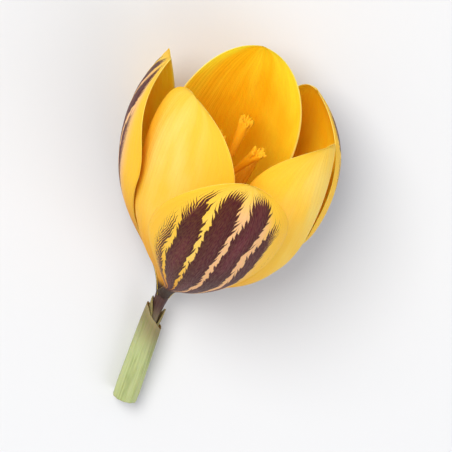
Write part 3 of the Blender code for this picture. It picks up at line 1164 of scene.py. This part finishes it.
@dataclass
class Petal:
    """One petal.

    Angles are in degrees, azimuth runs from the front petal's side towards +X, and the places where
    something starts, ends or is spread are shares of the length or of the half width.
    """

    node: str
    kind: PetalKind
    azimuth: float
    length: float
    half_width: float
    flare: float
    opening: float
    level: float
    bow: float
    hood: float
    curl: float
    sway_base: float
    sway_tip: float
    twist: float
    widest: float
    widening: float
    tip_fall: float
    tip_round: float
    seed: int
    skew: float = 0.0
    tip_flatness: float = 0.3
    stripe_scale: float = 1.0
    stripe_shift: float = 0.0
    bare_rim: float = 1.0
    rows: int = 84
    columns: int = 46
    low_rows_share: float = 0.55
    low_rows_spread: float = 1.15
    midline_points: int = 240
    thickness: float = 0.30
    rim_thickness: float = 0.09
    rim_power: int = 5
    tip_thins: Span = (0.72, 1.0)
    base_rise: float = 0.05
    level_softness: float = 0.01
    hood_power: float = 1.6
    foot: float = -0.016
    foot_thickness: float = 0.08
    foot_thins_from: float = 0.05
    foot_radius: float = 1.0
    draws_in: float = 0.045
    foot_drop: float = 2.0
    drops_over: float = 0.06
    join_half_angle: float = 57.0
    joins_over: float = 0.022
    curl_full_at: float = 0.55
    ripple: float = 0.20
    ripple_pace: float = 17.0
    ripple_across: Span = (0.70, 1.0)
    ripple_along: Span = (0.30, 0.60)
    sway_height: float = 0.14
    sway_pace: float = 4.5
    sway_spread: Span = (2.0, 1.3)
    sway_along: Span = (0.10, 0.45)
    groove_depth: float = 0.10
    groove_width: float = 0.06
    groove_starts: Span = (0.04, 0.2)
    groove_ends: Span = (0.85, 0.5)
    vein_height: float = 0.016
    vein_waves: float = 9.0
    claw: Claw = field(init=False, repr=False)
    join: float = field(init=False, repr=False)
    sway_field: Wander = field(init=False, repr=False)
    edge_field: Wander = field(init=False, repr=False)
    midline: tuple[Array, ...] = field(init=False, repr=False)

    def __post_init__(self) -> None:
        """Trace the midline: its tilt from the axis, its sideways angle, and its path out, aside and up."""
        self.claw = CLAWS[self.kind]
        self.join = self.claw.drawn_ring * math.radians(self.join_half_angle)
        self.sway_field = Wander(self.seed, pace=self.sway_pace)
        self.edge_field = Wander(self.seed + 50, pace=self.ripple_pace)
        share = np.linspace(0.0, 1.0, self.midline_points)
        rise = 1.0 - np.exp(-share / self.base_rise)
        below = 1.0 - share / self.level
        below = ((below + np.sqrt(below * below + self.level_softness)) / 2.0) ** self.bow
        above = np.clip((share - self.level) / (1.0 - self.level), 0.0, 1.0) ** self.hood_power
        tilt = np.radians(self.opening + rise * self.flare * below - self.hood * above)
        aside = np.radians(self.sway_tip * share + self.sway_base * (1.0 - share))
        step = self.length / (len(share) - 1)
        out = self.claw.ring + running_sum(np.cos(aside) * np.sin(tilt), step)
        out = out - (self.claw.ring - self.claw.drawn_ring) * np.exp(-share / self.draws_in)
        sideways = running_sum(np.sin(aside), step)
        up = running_sum(np.cos(aside) * np.cos(tilt), step)
        up = up - self.foot_drop * np.exp(-share / self.drops_over)
        self.midline = (share, tilt, aside, out, sideways, up)

    def half_width_at(self, u: Array) -> Array:
        """Half the petal's width: a narrow claw, a broad blade and a rounded tip.

        Args:
            u: Share of the length.

        Returns:
            Half the width there.
        """
        swell = np.sin(np.clip(u / self.widest, 0.0, 1.0) * math.pi / 2.0) ** self.widening
        low = self.claw.half_width + (self.half_width - self.claw.half_width) * swell
        low = low + (self.join - self.claw.half_width) * np.exp(-np.maximum(u, 0.0) / self.joins_over)
        fall = np.clip((u - self.widest) / (1.0 - self.widest), 0.0, 1.0)
        high = self.half_width * (1.0 - fall ** self.tip_fall) ** (1.0 / self.tip_round)
        return np.where(u < self.widest, low, high)

    def curl_radius_at(self, u: Array) -> Array:
        """Radius of the cross-section: tight at the claw, wide in the blade, flatter at the tip.

        Args:
            u: Share of the length.

        Returns:
            The radius there.
        """
        blend = ease(u, 0.0, self.curl_full_at)
        beyond = np.clip((u - self.curl_full_at) / (1.0 - self.curl_full_at), 0.0, 1.0)
        flatter = 1.0 + self.tip_flatness * beyond
        radius = (self.claw.curl + (self.curl - self.claw.curl) * blend) * flatter
        drawn = self.claw.curl - self.claw.drawn_ring
        return radius - drawn * np.exp(-np.maximum(u, 0.0) / self.draws_in)

    def relief(self, u: Array, across: Array) -> Array:
        """How far the petal stands off its smooth form: sway, rippled edge, groove and veins.

        Args:
            u: Share of the length.
            across: Share of the half width.

        Returns:
            The height there.
        """
        free = ease(u, *self.sway_along)
        edge = ease(np.abs(across), *self.ripple_across) * ease(u, *self.ripple_along)
        spread_along, spread_across = self.sway_spread
        height = self.sway_height * free * self.sway_field(u * spread_along, across * spread_across)
        height = height + self.ripple * edge * self.edge_field(u, np.sign(across) * 2.0)
        groove = self.groove_depth * np.exp(-(across / self.groove_width) ** 2)
        height = height - groove * ease(u, *self.groove_starts) * ease(u, *self.groove_ends)
        return height + self.vein_height * np.cos(across * self.vein_waves * math.pi + self.seed) * free

    def surface(self, u: Array, across: Array) -> tuple[Array, Array]:
        """The petal's middle surface.

        Args:
            u: Share of the length, from the claw to the tip; below 0 on the foot that laps the tube.
            across: Share of the half width, from -1 to 1.

        Returns:
            The points, and the directions out of the flower there.
        """
        share = self.midline[0]
        tilt, aside, out, sideways, up = (np.interp(u, share, values) for values in self.midline[1:])
        up = up + np.minimum(u, 0.0) * self.length
        out = out - (self.claw.drawn_ring - self.foot_radius) * ease(u, 0.0, self.foot)
        radius = self.curl_radius_at(u)
        turn = across * (1.0 - self.skew * across) * self.half_width_at(u) / radius
        cross = np.stack([-np.sin(aside) * np.sin(tilt), np.cos(aside), -np.sin(aside) * np.cos(tilt)], -1)
        normal = np.stack([np.cos(tilt), np.zeros_like(tilt), -np.sin(tilt)], -1)
        twist = (np.radians(self.twist) * u)[..., None]
        cross, normal = (
            cross * np.cos(twist) + normal * np.sin(twist),
            normal * np.cos(twist) - cross * np.sin(twist),
        )
        outward = normal * np.cos(turn)[..., None] + cross * np.sin(turn)[..., None]
        local = np.stack([out, sideways, up], -1)
        local = local + cross * (radius * np.sin(turn))[..., None]
        local = local - normal * (radius * (1.0 - np.cos(turn)))[..., None]
        local = local + outward * self.relief(u, across)[..., None]
        return self.round_axis(local), self.round_axis(outward)

    def round_axis(self, local: Array) -> Array:
        """Turn points to this petal's own azimuth.

        Args:
            local: The points, as distances out, aside and up.

        Returns:
            The points about the flower's axis.
        """
        azimuth = math.radians(self.azimuth)
        x = local[..., 0] * math.sin(azimuth) + local[..., 1] * math.cos(azimuth)
        y = -local[..., 0] * math.cos(azimuth) + local[..., 1] * math.sin(azimuth)
        return np.stack([x, y, local[..., 2]], -1)

    def row_places(self) -> Array:
        """Places of the mesh rows.

        Returns:
            Shares of the length, closer together at the claw and at the rounded tip.
        """
        low_count = round(self.rows * self.low_rows_share)
        spread = (np.arange(low_count) / low_count) ** self.low_rows_spread
        low = self.foot + (self.widest - self.foot) * spread
        high_count = self.rows - low_count
        turn = math.pi / 2.0 * np.arange(high_count) / high_count
        high = self.widest + (1.0 - self.widest) * np.sin(turn)
        return np.concatenate([low, high])

    def build(self, posture: Posture, outside: Finish, inside: Finish) -> bpy.types.Object:
        """Make the petal: an outer and an inner face that meet in a thin rim.

        Args:
            posture: Lays the petal down.
            outside: The finish of the face that looks out of the flower.
            inside: The finish of the face that looks into the flower, and of the rim.

        Returns:
            The finished piece.
        """
        u, across = np.meshgrid(self.row_places(), np.linspace(-1.0, 1.0, self.columns + 1), indexing="ij")
        points, outward = self.surface(u, across)
        thin = np.maximum(np.abs(across) ** self.rim_power, ease(u, *self.tip_thins))
        full = self.thickness + (self.rim_thickness - self.thickness) * thin
        full = full + (self.foot_thickness - full) * ease(u, self.foot_thins_from, self.foot)
        half = full[..., None] / 2.0
        tip, tip_outward = self.surface(np.array([[1.0]]), np.array([[0.0]]))
        skin = Skin()
        faces: list[tuple[Array, int]] = []
        for sign in (1.0, -1.0):
            grid = skin.lay(points + sign * outward * half, along=u, across=across)
            peak = skin.lay(tip + sign * tip_outward * self.rim_thickness / 2.0, along=1.0, across=0.0)
            faces.append((grid, int(peak[0, 0])))
        skin.close_sheet(faces, slots=(0, 1))
        piece = skin.become(self.node + "_skin", posture, [outside.material(), inside.material()])
        return stand_for(piece, self.node)


@dataclass
class FlowerTube:
    """The tube below the petals, which opens into a funnel under them.

    Ribs are given as height and number round the tube; the broad ones also wind as they go down.
    """

    stem: StemLine
    radius: float = 0.80
    bore: float = 0.50
    funnel_radius: float = 1.04
    funnel_bore: float = 0.80
    funnel_length: float = 5.4
    top: float = 2.10
    ribs: Span = (0.035, 6.0)
    broad_ribs: Span = (0.02, 3.0)
    winding: float = 0.7
    rows: int = 70
    rows_spread: float = 0.8
    sides: int = 48

    def build(self, posture: Posture, finish: Finish) -> bpy.types.Object:
        """Make the tube: an outer and an inner wall, closed at the cut and at the top.

        Args:
            posture: Lays the tube down.
            finish: The finish of its skin.

        Returns:
            The finished piece.
        """
        start = self.stem.length
        spread = np.linspace(0.0, 1.0, self.rows) ** self.rows_spread
        distance, angle = ring_grid(start + (self.top - start) * spread, self.sides)
        open_up = ease(distance, self.funnel_length, self.top)
        (height, count), (broad_height, broad_count) = self.ribs, self.broad_ribs
        ribs = height * np.cos(count * angle)
        ribs = ribs + broad_height * np.sin(broad_count * angle + distance * self.winding)
        outer = self.radius + (self.funnel_radius - self.radius) * open_up + ribs
        inner = self.bore + (self.funnel_bore - self.bore) * open_up
        skin = Skin()
        skin.pipe((self.stem, distance, angle), (outer, inner), along=1.0 - distance / start)
        piece = skin.become("flower_tube_skin", posture, [finish.material()])
        return stand_for(piece, "perianth_tube")


@dataclass
class Sheath:
    """The pale sheath leaf round the lower stem, with a thin slanted lip that is high on one side."""

    stem: StemLine
    foot_radius: float = 1.80
    lip_radius: float = 1.62
    bore: float = 1.42
    mouth_middle: float = 6.55
    mouth_slant: float = 1.65
    mouth_wave: float = 0.18
    mouth_wave_spread: float = 2.0
    lip_thickness: float = 0.07
    lip_thins: Span = (0.55, 1.0)
    ribs: Span = (0.045, 11.0)
    ribs_fade: Span = (1.0, 0.7)
    rib_wander: Span = (0.6, 5.0)
    foot_nip: float = 0.06
    foot_nip_over: float = 0.12
    rows: int = 64
    sides: int = 64
    seed: int = 71

    def build(self, posture: Posture, finish: Finish) -> bpy.types.Object:
        """Make the sheath: two walls that thin out towards the lip, with soft ribs along them.

        Args:
            posture: Lays the sheath down.
            finish: The finish of its skin.

        Returns:
            The finished piece.
        """
        lip = Wander(self.seed, pace=3.0)
        share, angle = ring_grid(np.linspace(0.0, 1.0, self.rows), self.sides)
        mouth = self.mouth_middle + self.mouth_slant * np.cos(angle)
        spread = self.mouth_wave_spread
        mouth = mouth + self.mouth_wave * lip(np.cos(angle) * spread, np.sin(angle) * spread)
        distance = self.stem.length + (mouth - self.stem.length) * share
        outer = self.foot_radius + (self.lip_radius - self.foot_radius) * share
        (height, count), (swing, pace) = self.ribs, self.rib_wander
        ribs = height * np.cos(count * angle + swing * np.sin(share * pace))
        outer = outer + ribs * ease(share, *self.ribs_fade)
        outer = outer - self.foot_nip * ease(share, self.foot_nip_over, 0.0)
        wall = outer - self.bore
        wall = wall + (self.lip_thickness - wall) * ease(share, *self.lip_thins)
        skin = Skin()
        skin.pipe((self.stem, distance, angle), (outer, outer - wall), along=share)
        piece = skin.become("sheath_skin", posture, [finish.material()])
        return stand_for(piece, "sheath")


@dataclass
class Bract:
    """A papery bract that hugs the tube inside the sheath and narrows to a free, crumpled tip."""

    stem: StemLine
    node: str
    middle_deg: float
    half_span_deg: float
    top: float
    lift: float
    seed: int
    radius: float = 1.10
    thickness: float = 0.14
    edge_thickness: float = 0.05
    narrows_from: float = 0.6
    narrowing_power: float = 1.8
    lifts_from: float = 0.8
    lift_power: float = 1.5
    crumple: float = 0.07
    crumples: Span = (0.72, 0.95)
    crease_waves: int = 7
    crease_pace: float = 9.0
    crease_spread: float = 4.0
    edge_power: int = 4
    fibre_spread: float = 1.5
    rows: int = 60
    columns: int = 24

    def build(self, posture: Posture, finish: Finish) -> bpy.types.Object:
        """Make the bract: a curved sheet with its own thickness, closed at the tip.

        Args:
            posture: Lays the bract down.
            finish: The finish of its skin.

        Returns:
            The finished piece.
        """
        lengthwise = np.linspace(0.0, 1.0, self.rows + 1)[:-1]
        share, across = np.meshgrid(lengthwise, np.linspace(-1.0, 1.0, self.columns + 1), indexing="ij")
        creases = Wander(self.seed, waves=self.crease_waves, pace=self.crease_pace)
        narrowing = np.clip((share - self.narrows_from) / (1.0 - self.narrows_from), 0.0, 1.0)
        middle = math.radians(self.middle_deg)
        span = math.radians(self.half_span_deg) * np.sqrt(1.0 - narrowing ** self.narrowing_power)
        distance = self.stem.length + (self.top - self.stem.length) * share
        lifting = np.clip((share - self.lifts_from) / (1.0 - self.lifts_from), 0.0, 1.0)
        radius = self.radius + self.lift * lifting ** self.lift_power
        crumpled = ease(share, *self.crumples)
        radius = radius + self.crumple * crumpled * creases(share * self.crease_spread, across)
        full = 1.0 - across ** self.edge_power
        half = (self.edge_thickness + (self.thickness - self.edge_thickness) * full) / 2.0
        skin = Skin()
        faces: list[tuple[Array, int]] = []
        marks = {"along": share, "side": across * self.fibre_spread, "front": 0.0}
        for sign in (1.0, -1.0):
            face = self.stem.wall(distance, middle + span * across, radius + sign * half)
            grid = skin.lay(face, **marks)
            end = np.array([[self.radius + self.lift + sign * self.edge_thickness / 2.0]])
            point = self.stem.wall(np.array([[self.top]]), np.array([[middle]]), end)
            peak = skin.lay(point, along=1.0, side=0.0, front=0.0)
            faces.append((grid, int(peak[0, 0])))
        skin.close_sheet(faces, flip=True)
        piece = skin.become(self.node + "_skin", posture, [finish.material()])
        return stand_for(piece, self.node)


@dataclass
class Stamen:
    """A stamen: a fine filament under a long anther with four lobes.

    The anther's cross-section is notched at its sides and grooved at its front and back, each given as
    depth and width, and it turns a little on its way up.
    """

    node: str
    azimuth_deg: float
    seed: int
    foot: float = -0.6
    joint: float = 13.0
    top: float = 27.0
    ring: float = 0.8
    lean: float = 3.8
    lean_power: float = 1.4
    turn_deg: float = 18.0
    filament_radius: float = 0.28
    least_radius: float = 0.12
    body_radius: float = 1.10
    body_low: float = 0.6
    body_full: float = 0.7
    side_notch: Span = (0.20, 0.28)
    front_groove: Span = (0.34, 0.22)
    lobes_from: Span = (0.1, 0.6)
    lumpiness: float = 0.05
    lump_waves: int = 9
    lump_pace: float = 14.0
    lump_spread: float = 6.0
    squash: float = 0.75
    rows: int = 90
    sides: int = 36

    def build(self, posture: Posture, finish: Finish) -> bpy.types.Object:
        """Make the stamen as one closed form.

        Args:
            posture: Lays the stamen down.
            finish: The finish of its skin.

        Returns:
            The finished piece.
        """
        outward, sideways = facing(self.azimuth_deg)
        share, angle = ring_grid(np.linspace(0.0, 1.0, self.rows), self.sides)
        height = self.foot + (self.top - self.foot) * share
        body = np.clip((height - self.joint) / (self.top - self.joint), 0.0, 1.0)
        swell = self.body_radius * np.sin(math.pi * body ** self.body_low) ** self.body_full
        lumps = Wander(self.seed, waves=self.lump_waves, pace=self.lump_pace)
        radius = self.filament_radius * np.sqrt(1.0 - body) + swell
        radius = np.maximum(radius, self.least_radius)
        (notch, notch_width), (groove, groove_width) = self.side_notch, self.front_groove
        lobes = 1.0 - notch * np.exp(-(np.sin(angle) / notch_width) ** 2)
        lobes = lobes - groove * np.exp(-(np.cos(angle) / groove_width) ** 2)
        grown = ease(swell, *self.lobes_from)
        radius = radius * (1.0 + (lobes - 1.0) * grown)
        lumpy = self.lumpiness * grown * lumps(share * self.lump_spread, np.cos(angle))
        radius = radius * (1.0 + lumpy)
        lean = self.ring + self.lean * (np.maximum(height, 0.0) / self.top) ** self.lean_power
        turned = angle + math.radians(self.turn_deg) * body
        centre = outward * lean[..., None]
        centre[..., 2] += height
        points = centre + sideways * (radius * np.cos(turned))[..., None]
        points = points + outward * (self.squash * radius * np.sin(turned))[..., None]
        skin = Skin()
        skin.rod(points, share, ends=(0.0, 1.0))
        piece = skin.become(self.node + "_skin", posture, [finish.material()])
        return stand_for(piece, self.node)


@dataclass
class Style:
    """The style: a thread up the tube that divides into three trumpets with frilled, hollow ends."""

    stem: StemLine
    radius: float = 0.24
    fork: float = 19.0
    branch_start: float = 18.2
    branch_rise: float = 11.5
    branch_lean: float = 3.6
    branch_lean_power: float = 1.3
    branch_ring: float = 0.06
    branch_azimuths: tuple[float, float, float] = (52.0, 172.0, 292.0)
    neck: float = 0.9
    flare: float = 1.15
    flare_power: float = 1.15
    flares_from: float = 0.3
    wall: float = 0.11
    least_radius: float = 0.02
    cup_depth: float = 0.6
    cup_mark: float = 0.9
    cup_rows: int = 8
    frills: int = 5
    frills_from: float = 0.82
    frill_out: float = 0.22
    frill_up: float = 0.28
    sides: int = 42
    rows: int = 46
    thread_rows: int = 60

    def thread(self, skin: Skin) -> None:
        """Add the thread from the cut up to just inside the fork.

        Args:
            skin: What it is added to.
        """
        lengthwise = np.linspace(self.stem.length, -self.fork, self.thread_rows)
        distance, angle = ring_grid(lengthwise, self.sides)
        points = self.stem.wall(distance, angle, np.full(distance.shape, self.radius))
        skin.rod(points, np.zeros(distance.shape), ends=(0.0, 0.0), flip=True)

    def branch(self, skin: Skin, azimuth_deg: float) -> None:
        """Add one trumpet: up its outside, over the frilled lip and down into its cup.

        Args:
            skin: What it is added to.
            azimuth_deg: Where it points.
        """
        outward, sideways = facing(azimuth_deg)
        shift = math.radians(azimuth_deg)
        outside_rows, shallower = np.ones(self.rows), np.linspace(1.0, 0.0, self.cup_rows + 1)[1:]
        cup_levels = 1.0 - (1.0 - shallower) * self.cup_depth / self.branch_rise
        levels = np.concatenate([np.linspace(0.0, 1.0, self.rows), cup_levels])
        level, angle = ring_grid(levels, self.sides)
        depth = np.concatenate([outside_rows, shallower])[:, None]
        inside = (np.arange(len(levels)) >= self.rows)[:, None]
        radius = self.radius * self.neck
        radius = radius + self.flare * np.maximum(level - self.flares_from, 0.0) ** self.flare_power
        radius = np.where(inside, np.maximum(radius - self.wall, self.least_radius) * depth, radius)
        frill = ease(level, self.frills_from, 1.0)
        radius = radius * (1.0 + self.frill_out * frill * np.cos(self.frills * angle + shift))
        height = self.branch_start + self.branch_rise * level
        height = height + self.frill_up * frill * np.cos(self.frills * angle * 2.0 + shift) * depth
        lean = self.branch_ring + self.branch_lean * level ** self.branch_lean_power
        centre = outward * lean[..., None]
        centre[..., 2] += height
        points = centre + sideways * (radius * np.cos(angle))[..., None]
        points = points + outward * (radius * np.sin(angle))[..., None]
        skin.rod(points, level, ends=(0.0, self.cup_mark))

    def build(self, posture: Posture, finish: Finish) -> bpy.types.Object:
        """Make the style and its three branches as one piece.

        Args:
            posture: Lays the style down.
            finish: The finish of its skin.

        Returns:
            The finished piece.
        """
        skin = Skin()
        self.thread(skin)
        for azimuth in self.branch_azimuths:
            self.branch(skin, azimuth)
        piece = skin.become("style_skin", posture, [finish.material()])
        return stand_for(piece, "style")


# The studio


@dataclass(frozen=True)
class Softbox:
    """One large soft light that looks at the flower."""

    name: str
    place: tuple[float, float, float]
    width: float
    power: float
    colour: Colour

    def build(self) -> None:
        """Hang the light."""
        lamp = bpy.data.lights.new(self.name, "AREA")
        lamp.shape = "DISK"
        lamp.size = self.width
        lamp.energy = self.power
        lamp.color = self.colour
        holder = bpy.data.objects.new(self.name, lamp)
        holder.location = self.place
        holder.rotation_euler = (-Vector(self.place)).to_track_quat("-Z", "Y").to_euler()
        bpy.context.scene.collection.objects.link(holder)


@dataclass(frozen=True)
class Studio:
    """A pale floor, a pale room and soft lights, the strongest from above the petal tips at the left."""

    floor_flat: float = 1.5
    floor_sides: int = 96
    sweep: float = 0.45
    sweep_rows: int = 12
    floor_roughness: float = 0.62
    floor_uneven: float = 0.1
    floor_clouds_per_mm: float = 0.01
    floor_shine: float = 0.2
    floor_tint: Colour = tint(222, 222, 223)
    room_tint: Colour = tint(244, 247, 252)
    room_light: float = 0.58
    lights: tuple[Softbox, ...] = (
        Softbox("key_light", (-0.84, 0.66, 1.36), 1.0, 25.0, (1.0, 0.985, 0.955)),
        Softbox("fill_light", (1.21, -0.55, 1.21), 1.54, 9.0, (0.97, 0.985, 1.0)),
    )

    def floor(self) -> None:
        """Lay the floor, a round pale card that sweeps up at its rim, so that no horizon shows."""
        sides = self.floor_sides
        bend, angle = ring_grid(np.linspace(0.0, math.pi / 2.0, self.sweep_rows), sides)
        reach = self.floor_flat + self.sweep * np.sin(bend)
        rise = self.sweep * (1.0 - np.cos(bend))
        points = np.stack([reach * np.cos(angle), reach * np.sin(angle), rise], axis=-1)
        faces = [tuple(range(sides))]
        for row in range(self.sweep_rows - 1):
            for place in range(sides):
                here, beside = row * sides + place, row * sides + (place + 1) % sides
                faces.append((here, here + sides, beside + sides, beside))
        mesh = bpy.data.meshes.new("floor")
        mesh.from_pydata(points.reshape(-1, 3).tolist(), [], faces)
        mesh.shade_smooth()
        material = bpy.data.materials.new("pale_card")
        material.use_nodes = True
        board = Board(material.node_tree)
        shader = material.node_tree.nodes["Principled BSDF"]
        shader.inputs["Specular IOR Level"].default_value = self.floor_shine
        cloud = board.noise(board.place_mm(), self.floor_clouds_per_mm)
        rough = self.floor_roughness + (cloud - 0.5) * self.floor_uneven
        board.feed(shader.inputs["Roughness"], rough)
        board.feed(shader.inputs["Base Color"], self.floor_tint)
        mesh.materials.append(material)
        floor = bpy.data.objects.new("floor", mesh)
        bpy.context.scene.collection.objects.link(floor)

    def build(self) -> None:
        """Set the room, the floor and the lights."""
        scene = bpy.context.scene
        world = bpy.data.worlds.new("room")
        world.use_nodes = True
        backdrop = world.node_tree.nodes["Background"]
        backdrop.inputs["Color"].default_value = (*self.room_tint, 1.0)
        backdrop.inputs["Strength"].default_value = self.room_light
        scene.world = world
        scene.view_settings.view_transform = "Standard"
        self.floor()
        for light in self.lights:
            light.build()
        LOG.info("studio: floor and %d lights", len(self.lights))


@dataclass(frozen=True)
class Viewpoint:
    """Where the flower is looked at from.

    The first two angles are the view's own, from the flower's axis and from its front towards its side.
    The third is how far the axis leans in the frame. Fill is how much of the frame the flower takes up.
    """

    from_axis_deg: float = 50.0
    to_side_deg: float = 13.0
    axis_tilt_deg: float = 26.6
    lens: float = 600.0
    sensor: float = 36.0
    fill: float = 0.80
    sees_from: float = 0.05
    sees_to: float = 10.0

    def build(self, posture: Posture) -> None:
        """Make the camera and frame the CAD part with it.

        Args:
            posture: How the flower lies.
        """
        from_axis, side = math.radians(self.from_axis_deg), math.radians(self.to_side_deg)
        out = math.sin(from_axis)
        back = Vector((-out * math.sin(side), -out * math.cos(side), math.cos(from_axis)))
        back = (posture.turn @ back).normalized()
        axis = posture.turn @ Vector((0.0, 0.0, 1.0))
        seen_axis = (axis - back * axis.dot(back)).normalized()
        beside = seen_axis.cross(back)
        tilt = math.radians(self.axis_tilt_deg)
        up = seen_axis * math.cos(tilt) - beside * math.sin(tilt)
        right = seen_axis * math.sin(tilt) + beside * math.cos(tilt)
        corners = [vertex.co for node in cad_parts.values() for vertex in node.data.vertices]
        spans = []
        for way in (right, up, back):
            reach = [corner.dot(way) for corner in corners]
            spans.append((min(reach), max(reach)))
        middle = [(low + high) / 2.0 for low, high in spans]
        extent = max(high - low for low, high in spans[:2])
        distance = extent / self.fill * self.lens / self.sensor
        aim = right * middle[0] + up * middle[1] + back * middle[2]
        camera = bpy.data.cameras.new("camera")
        camera.lens = self.lens
        camera.sensor_width = self.sensor
        camera.clip_start = self.sees_from
        camera.clip_end = self.sees_to
        holder = bpy.data.objects.new("camera", camera)
        bpy.context.scene.collection.objects.link(holder)
        axes = Matrix((right, up, back)).transposed().to_4x4()
        holder.matrix_world = Matrix.Translation(aim + back * distance) @ axes
        bpy.context.scene.camera = holder
        LOG.info("camera: %.3f m away, frame %.1f mm wide", distance, extent / self.fill / MM)


PETALS = (
    Petal(
        node="outer_tepal_front", kind=PetalKind.OUTER, azimuth=-8.0, length=40.8, half_width=10.8,
        flare=48.5, opening=13.2, level=0.62, bow=1.06, hood=31.0, curl=11.2, sway_base=9.8,
        sway_tip=-1.5, twist=-17.8, widest=0.59, widening=1.97, tip_fall=2.2, tip_round=1.8, seed=1,
        stripe_scale=0.90, stripe_shift=0.09,
    ),
    Petal(
        node="outer_tepal_left", kind=PetalKind.OUTER, azimuth=-111.8, length=40.8, half_width=10.2,
        flare=75.1, opening=-7.4, level=0.63, bow=0.80, hood=27.7, curl=9.5, sway_base=-6.3,
        sway_tip=8.5, twist=-15.3, widest=0.58, widening=1.74, tip_fall=2.0, tip_round=1.15, seed=2,
        stripe_scale=1.1, stripe_shift=0.06, bare_rim=1.45, level_softness=0.09,
    ),
    Petal(
        node="outer_tepal_right", kind=PetalKind.OUTER, azimuth=118.4, length=41.7, half_width=11.7,
        flare=84.0, opening=-1.7, level=0.60, bow=0.80, hood=46.0, curl=9.9, sway_base=-1.8,
        sway_tip=14.0, twist=-7.6, widest=0.62, widening=1.55, tip_fall=2.2, tip_round=1.8, seed=3,
    ),
    Petal(
        node="inner_tepal_left", kind=PetalKind.INNER, azimuth=-47.9, length=38.6, half_width=9.6,
        flare=51.2, opening=3.0, level=0.47, bow=0.84, hood=16.9, curl=13.8, sway_base=-6.1,
        sway_tip=-6.0, twist=9.5, widest=0.66, widening=1.24, tip_fall=3.0, tip_round=2.6, seed=4,
        skew=-0.35, tip_flatness=1.6,
    ),
    Petal(
        node="inner_tepal_right", kind=PetalKind.INNER, azimuth=56.7, length=39.9, half_width=11.7,
        flare=82.1, opening=-7.6, level=0.56, bow=0.67, hood=18.5, curl=7.7, sway_base=3.9,
        sway_tip=9.7, twist=0.9, widest=0.60, widening=1.15, tip_fall=2.6, tip_round=2.2, seed=5,
        skew=0.05, tip_flatness=-0.2,
    ),
    Petal(
        node="inner_tepal_back", kind=PetalKind.INNER, azimuth=177.4, length=40.2, half_width=11.0,
        flare=52.9, opening=0.2, level=0.54, bow=0.89, hood=4.1, curl=12.0, sway_base=1.4,
        sway_tip=1.2, twist=-4.1, widest=0.54, widening=1.25, tip_fall=2.2, tip_round=1.8, seed=6,
    ),
)


def build_petals(posture: Posture) -> None:
    """Build the six petals, each with an outside and an inside finish of its own.

    Args:
        posture: How the flower lies.
    """
    for petal in PETALS:
        outside = PetalOutside(
            petal.node + "_outside",
            striped=petal.kind is PetalKind.OUTER,
            stripe_scale=petal.stripe_scale,
            stripe_shift=petal.stripe_shift,
            bare_rim=petal.bare_rim,
            claw_reach=petal.claw.dark_reach,
            seed=float(petal.seed),
        )
        inside = PetalInside(petal.node + "_inside", seed=float(petal.seed))
        petal.build(posture, outside, inside)


def build_stem(posture: Posture, stem: StemLine) -> None:
    """Build the tube, its sheath and its two bracts.

    Args:
        posture: How the flower lies.
        stem: The line of its stem.
    """
    tube = StemSkin(
        "flower_tube_skin", low=tint(178, 172, 132), high=tint(78, 54, 50), fibre=tint(110, 84, 76),
        turn_at=(0.45, 0.80), fibre_share=0.45, relief_mm=0.04, soak=0.12,
    )
    FlowerTube(stem).build(posture, tube)
    sheath = StemSkin(
        "sheath_leaf_skin", low=tint(180, 188, 132), high=tint(134, 118, 86), fibre=tint(112, 126, 62),
        edge=tint(176, 164, 122), turn_at=(0.5, 1.0), fibre_share=0.55, edge_share=0.25, relief_mm=0.05,
        fineness=7.0, soak=0.3, seed=4.0,
    )
    Sheath(stem).build(posture, sheath)
    paper = StemSkin(
        "papery_bract_skin", low=tint(170, 160, 112), high=tint(136, 124, 78), fibre=tint(96, 82, 46),
        edge=tint(168, 150, 104), turn_at=(0.5, 0.95), fibre_share=0.6, edge_share=0.4, relief_mm=0.05,
        fineness=8.0, roughness=0.66, soak=0.2, seed=7.0,
    )
    for bract in (
        Bract(stem, "bract", middle_deg=186.0, half_span_deg=96.0, top=3.6, lift=0.12, seed=21),
        Bract(stem, "bracteole", middle_deg=0.0, half_span_deg=66.0, top=5.0, lift=0.15, seed=22),
    ):
        bract.build(posture, paper)


def build_heart(posture: Posture, stem: StemLine) -> None:
    """Build the stamens and the style.

    Args:
        posture: How the flower lies.
        stem: The line of its stem.
    """
    pollen = GrainySkin("pollen_skin", roughness=0.7, relief_mm=0.05, soak=0.2)
    for node, azimuth, seed in (
        ("stamen_front", -8.0, 31),
        ("stamen_right", 118.0, 32),
        ("stamen_left", -112.0, 33),
    ):
        Stamen(node, azimuth, seed).build(posture, pollen)
    stigma = GrainySkin(
        "stigma_skin", stalk=tint(255, 190, 50), head=tint(255, 182, 26), grain=tint(255, 214, 84),
        turn_at=(0.25, 0.7), grain_per_mm=7.0, grain_share=0.5, roughness=0.55, relief_mm=0.03,
    )
    Style(stem).build(posture, stigma)


def main() -> None:
    """Build the flower's looks in order, then the studio and the camera."""
    logging.basicConfig(level=logging.INFO, format="%(name)s: %(message)s")
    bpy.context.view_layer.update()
    posture = Posture()
    stem = StemLine()
    build_petals(posture)
    build_stem(posture, stem)
    build_heart(posture, stem)
    Studio().build()
    Viewpoint().build(posture)


if __name__ == "__main__":
    main()
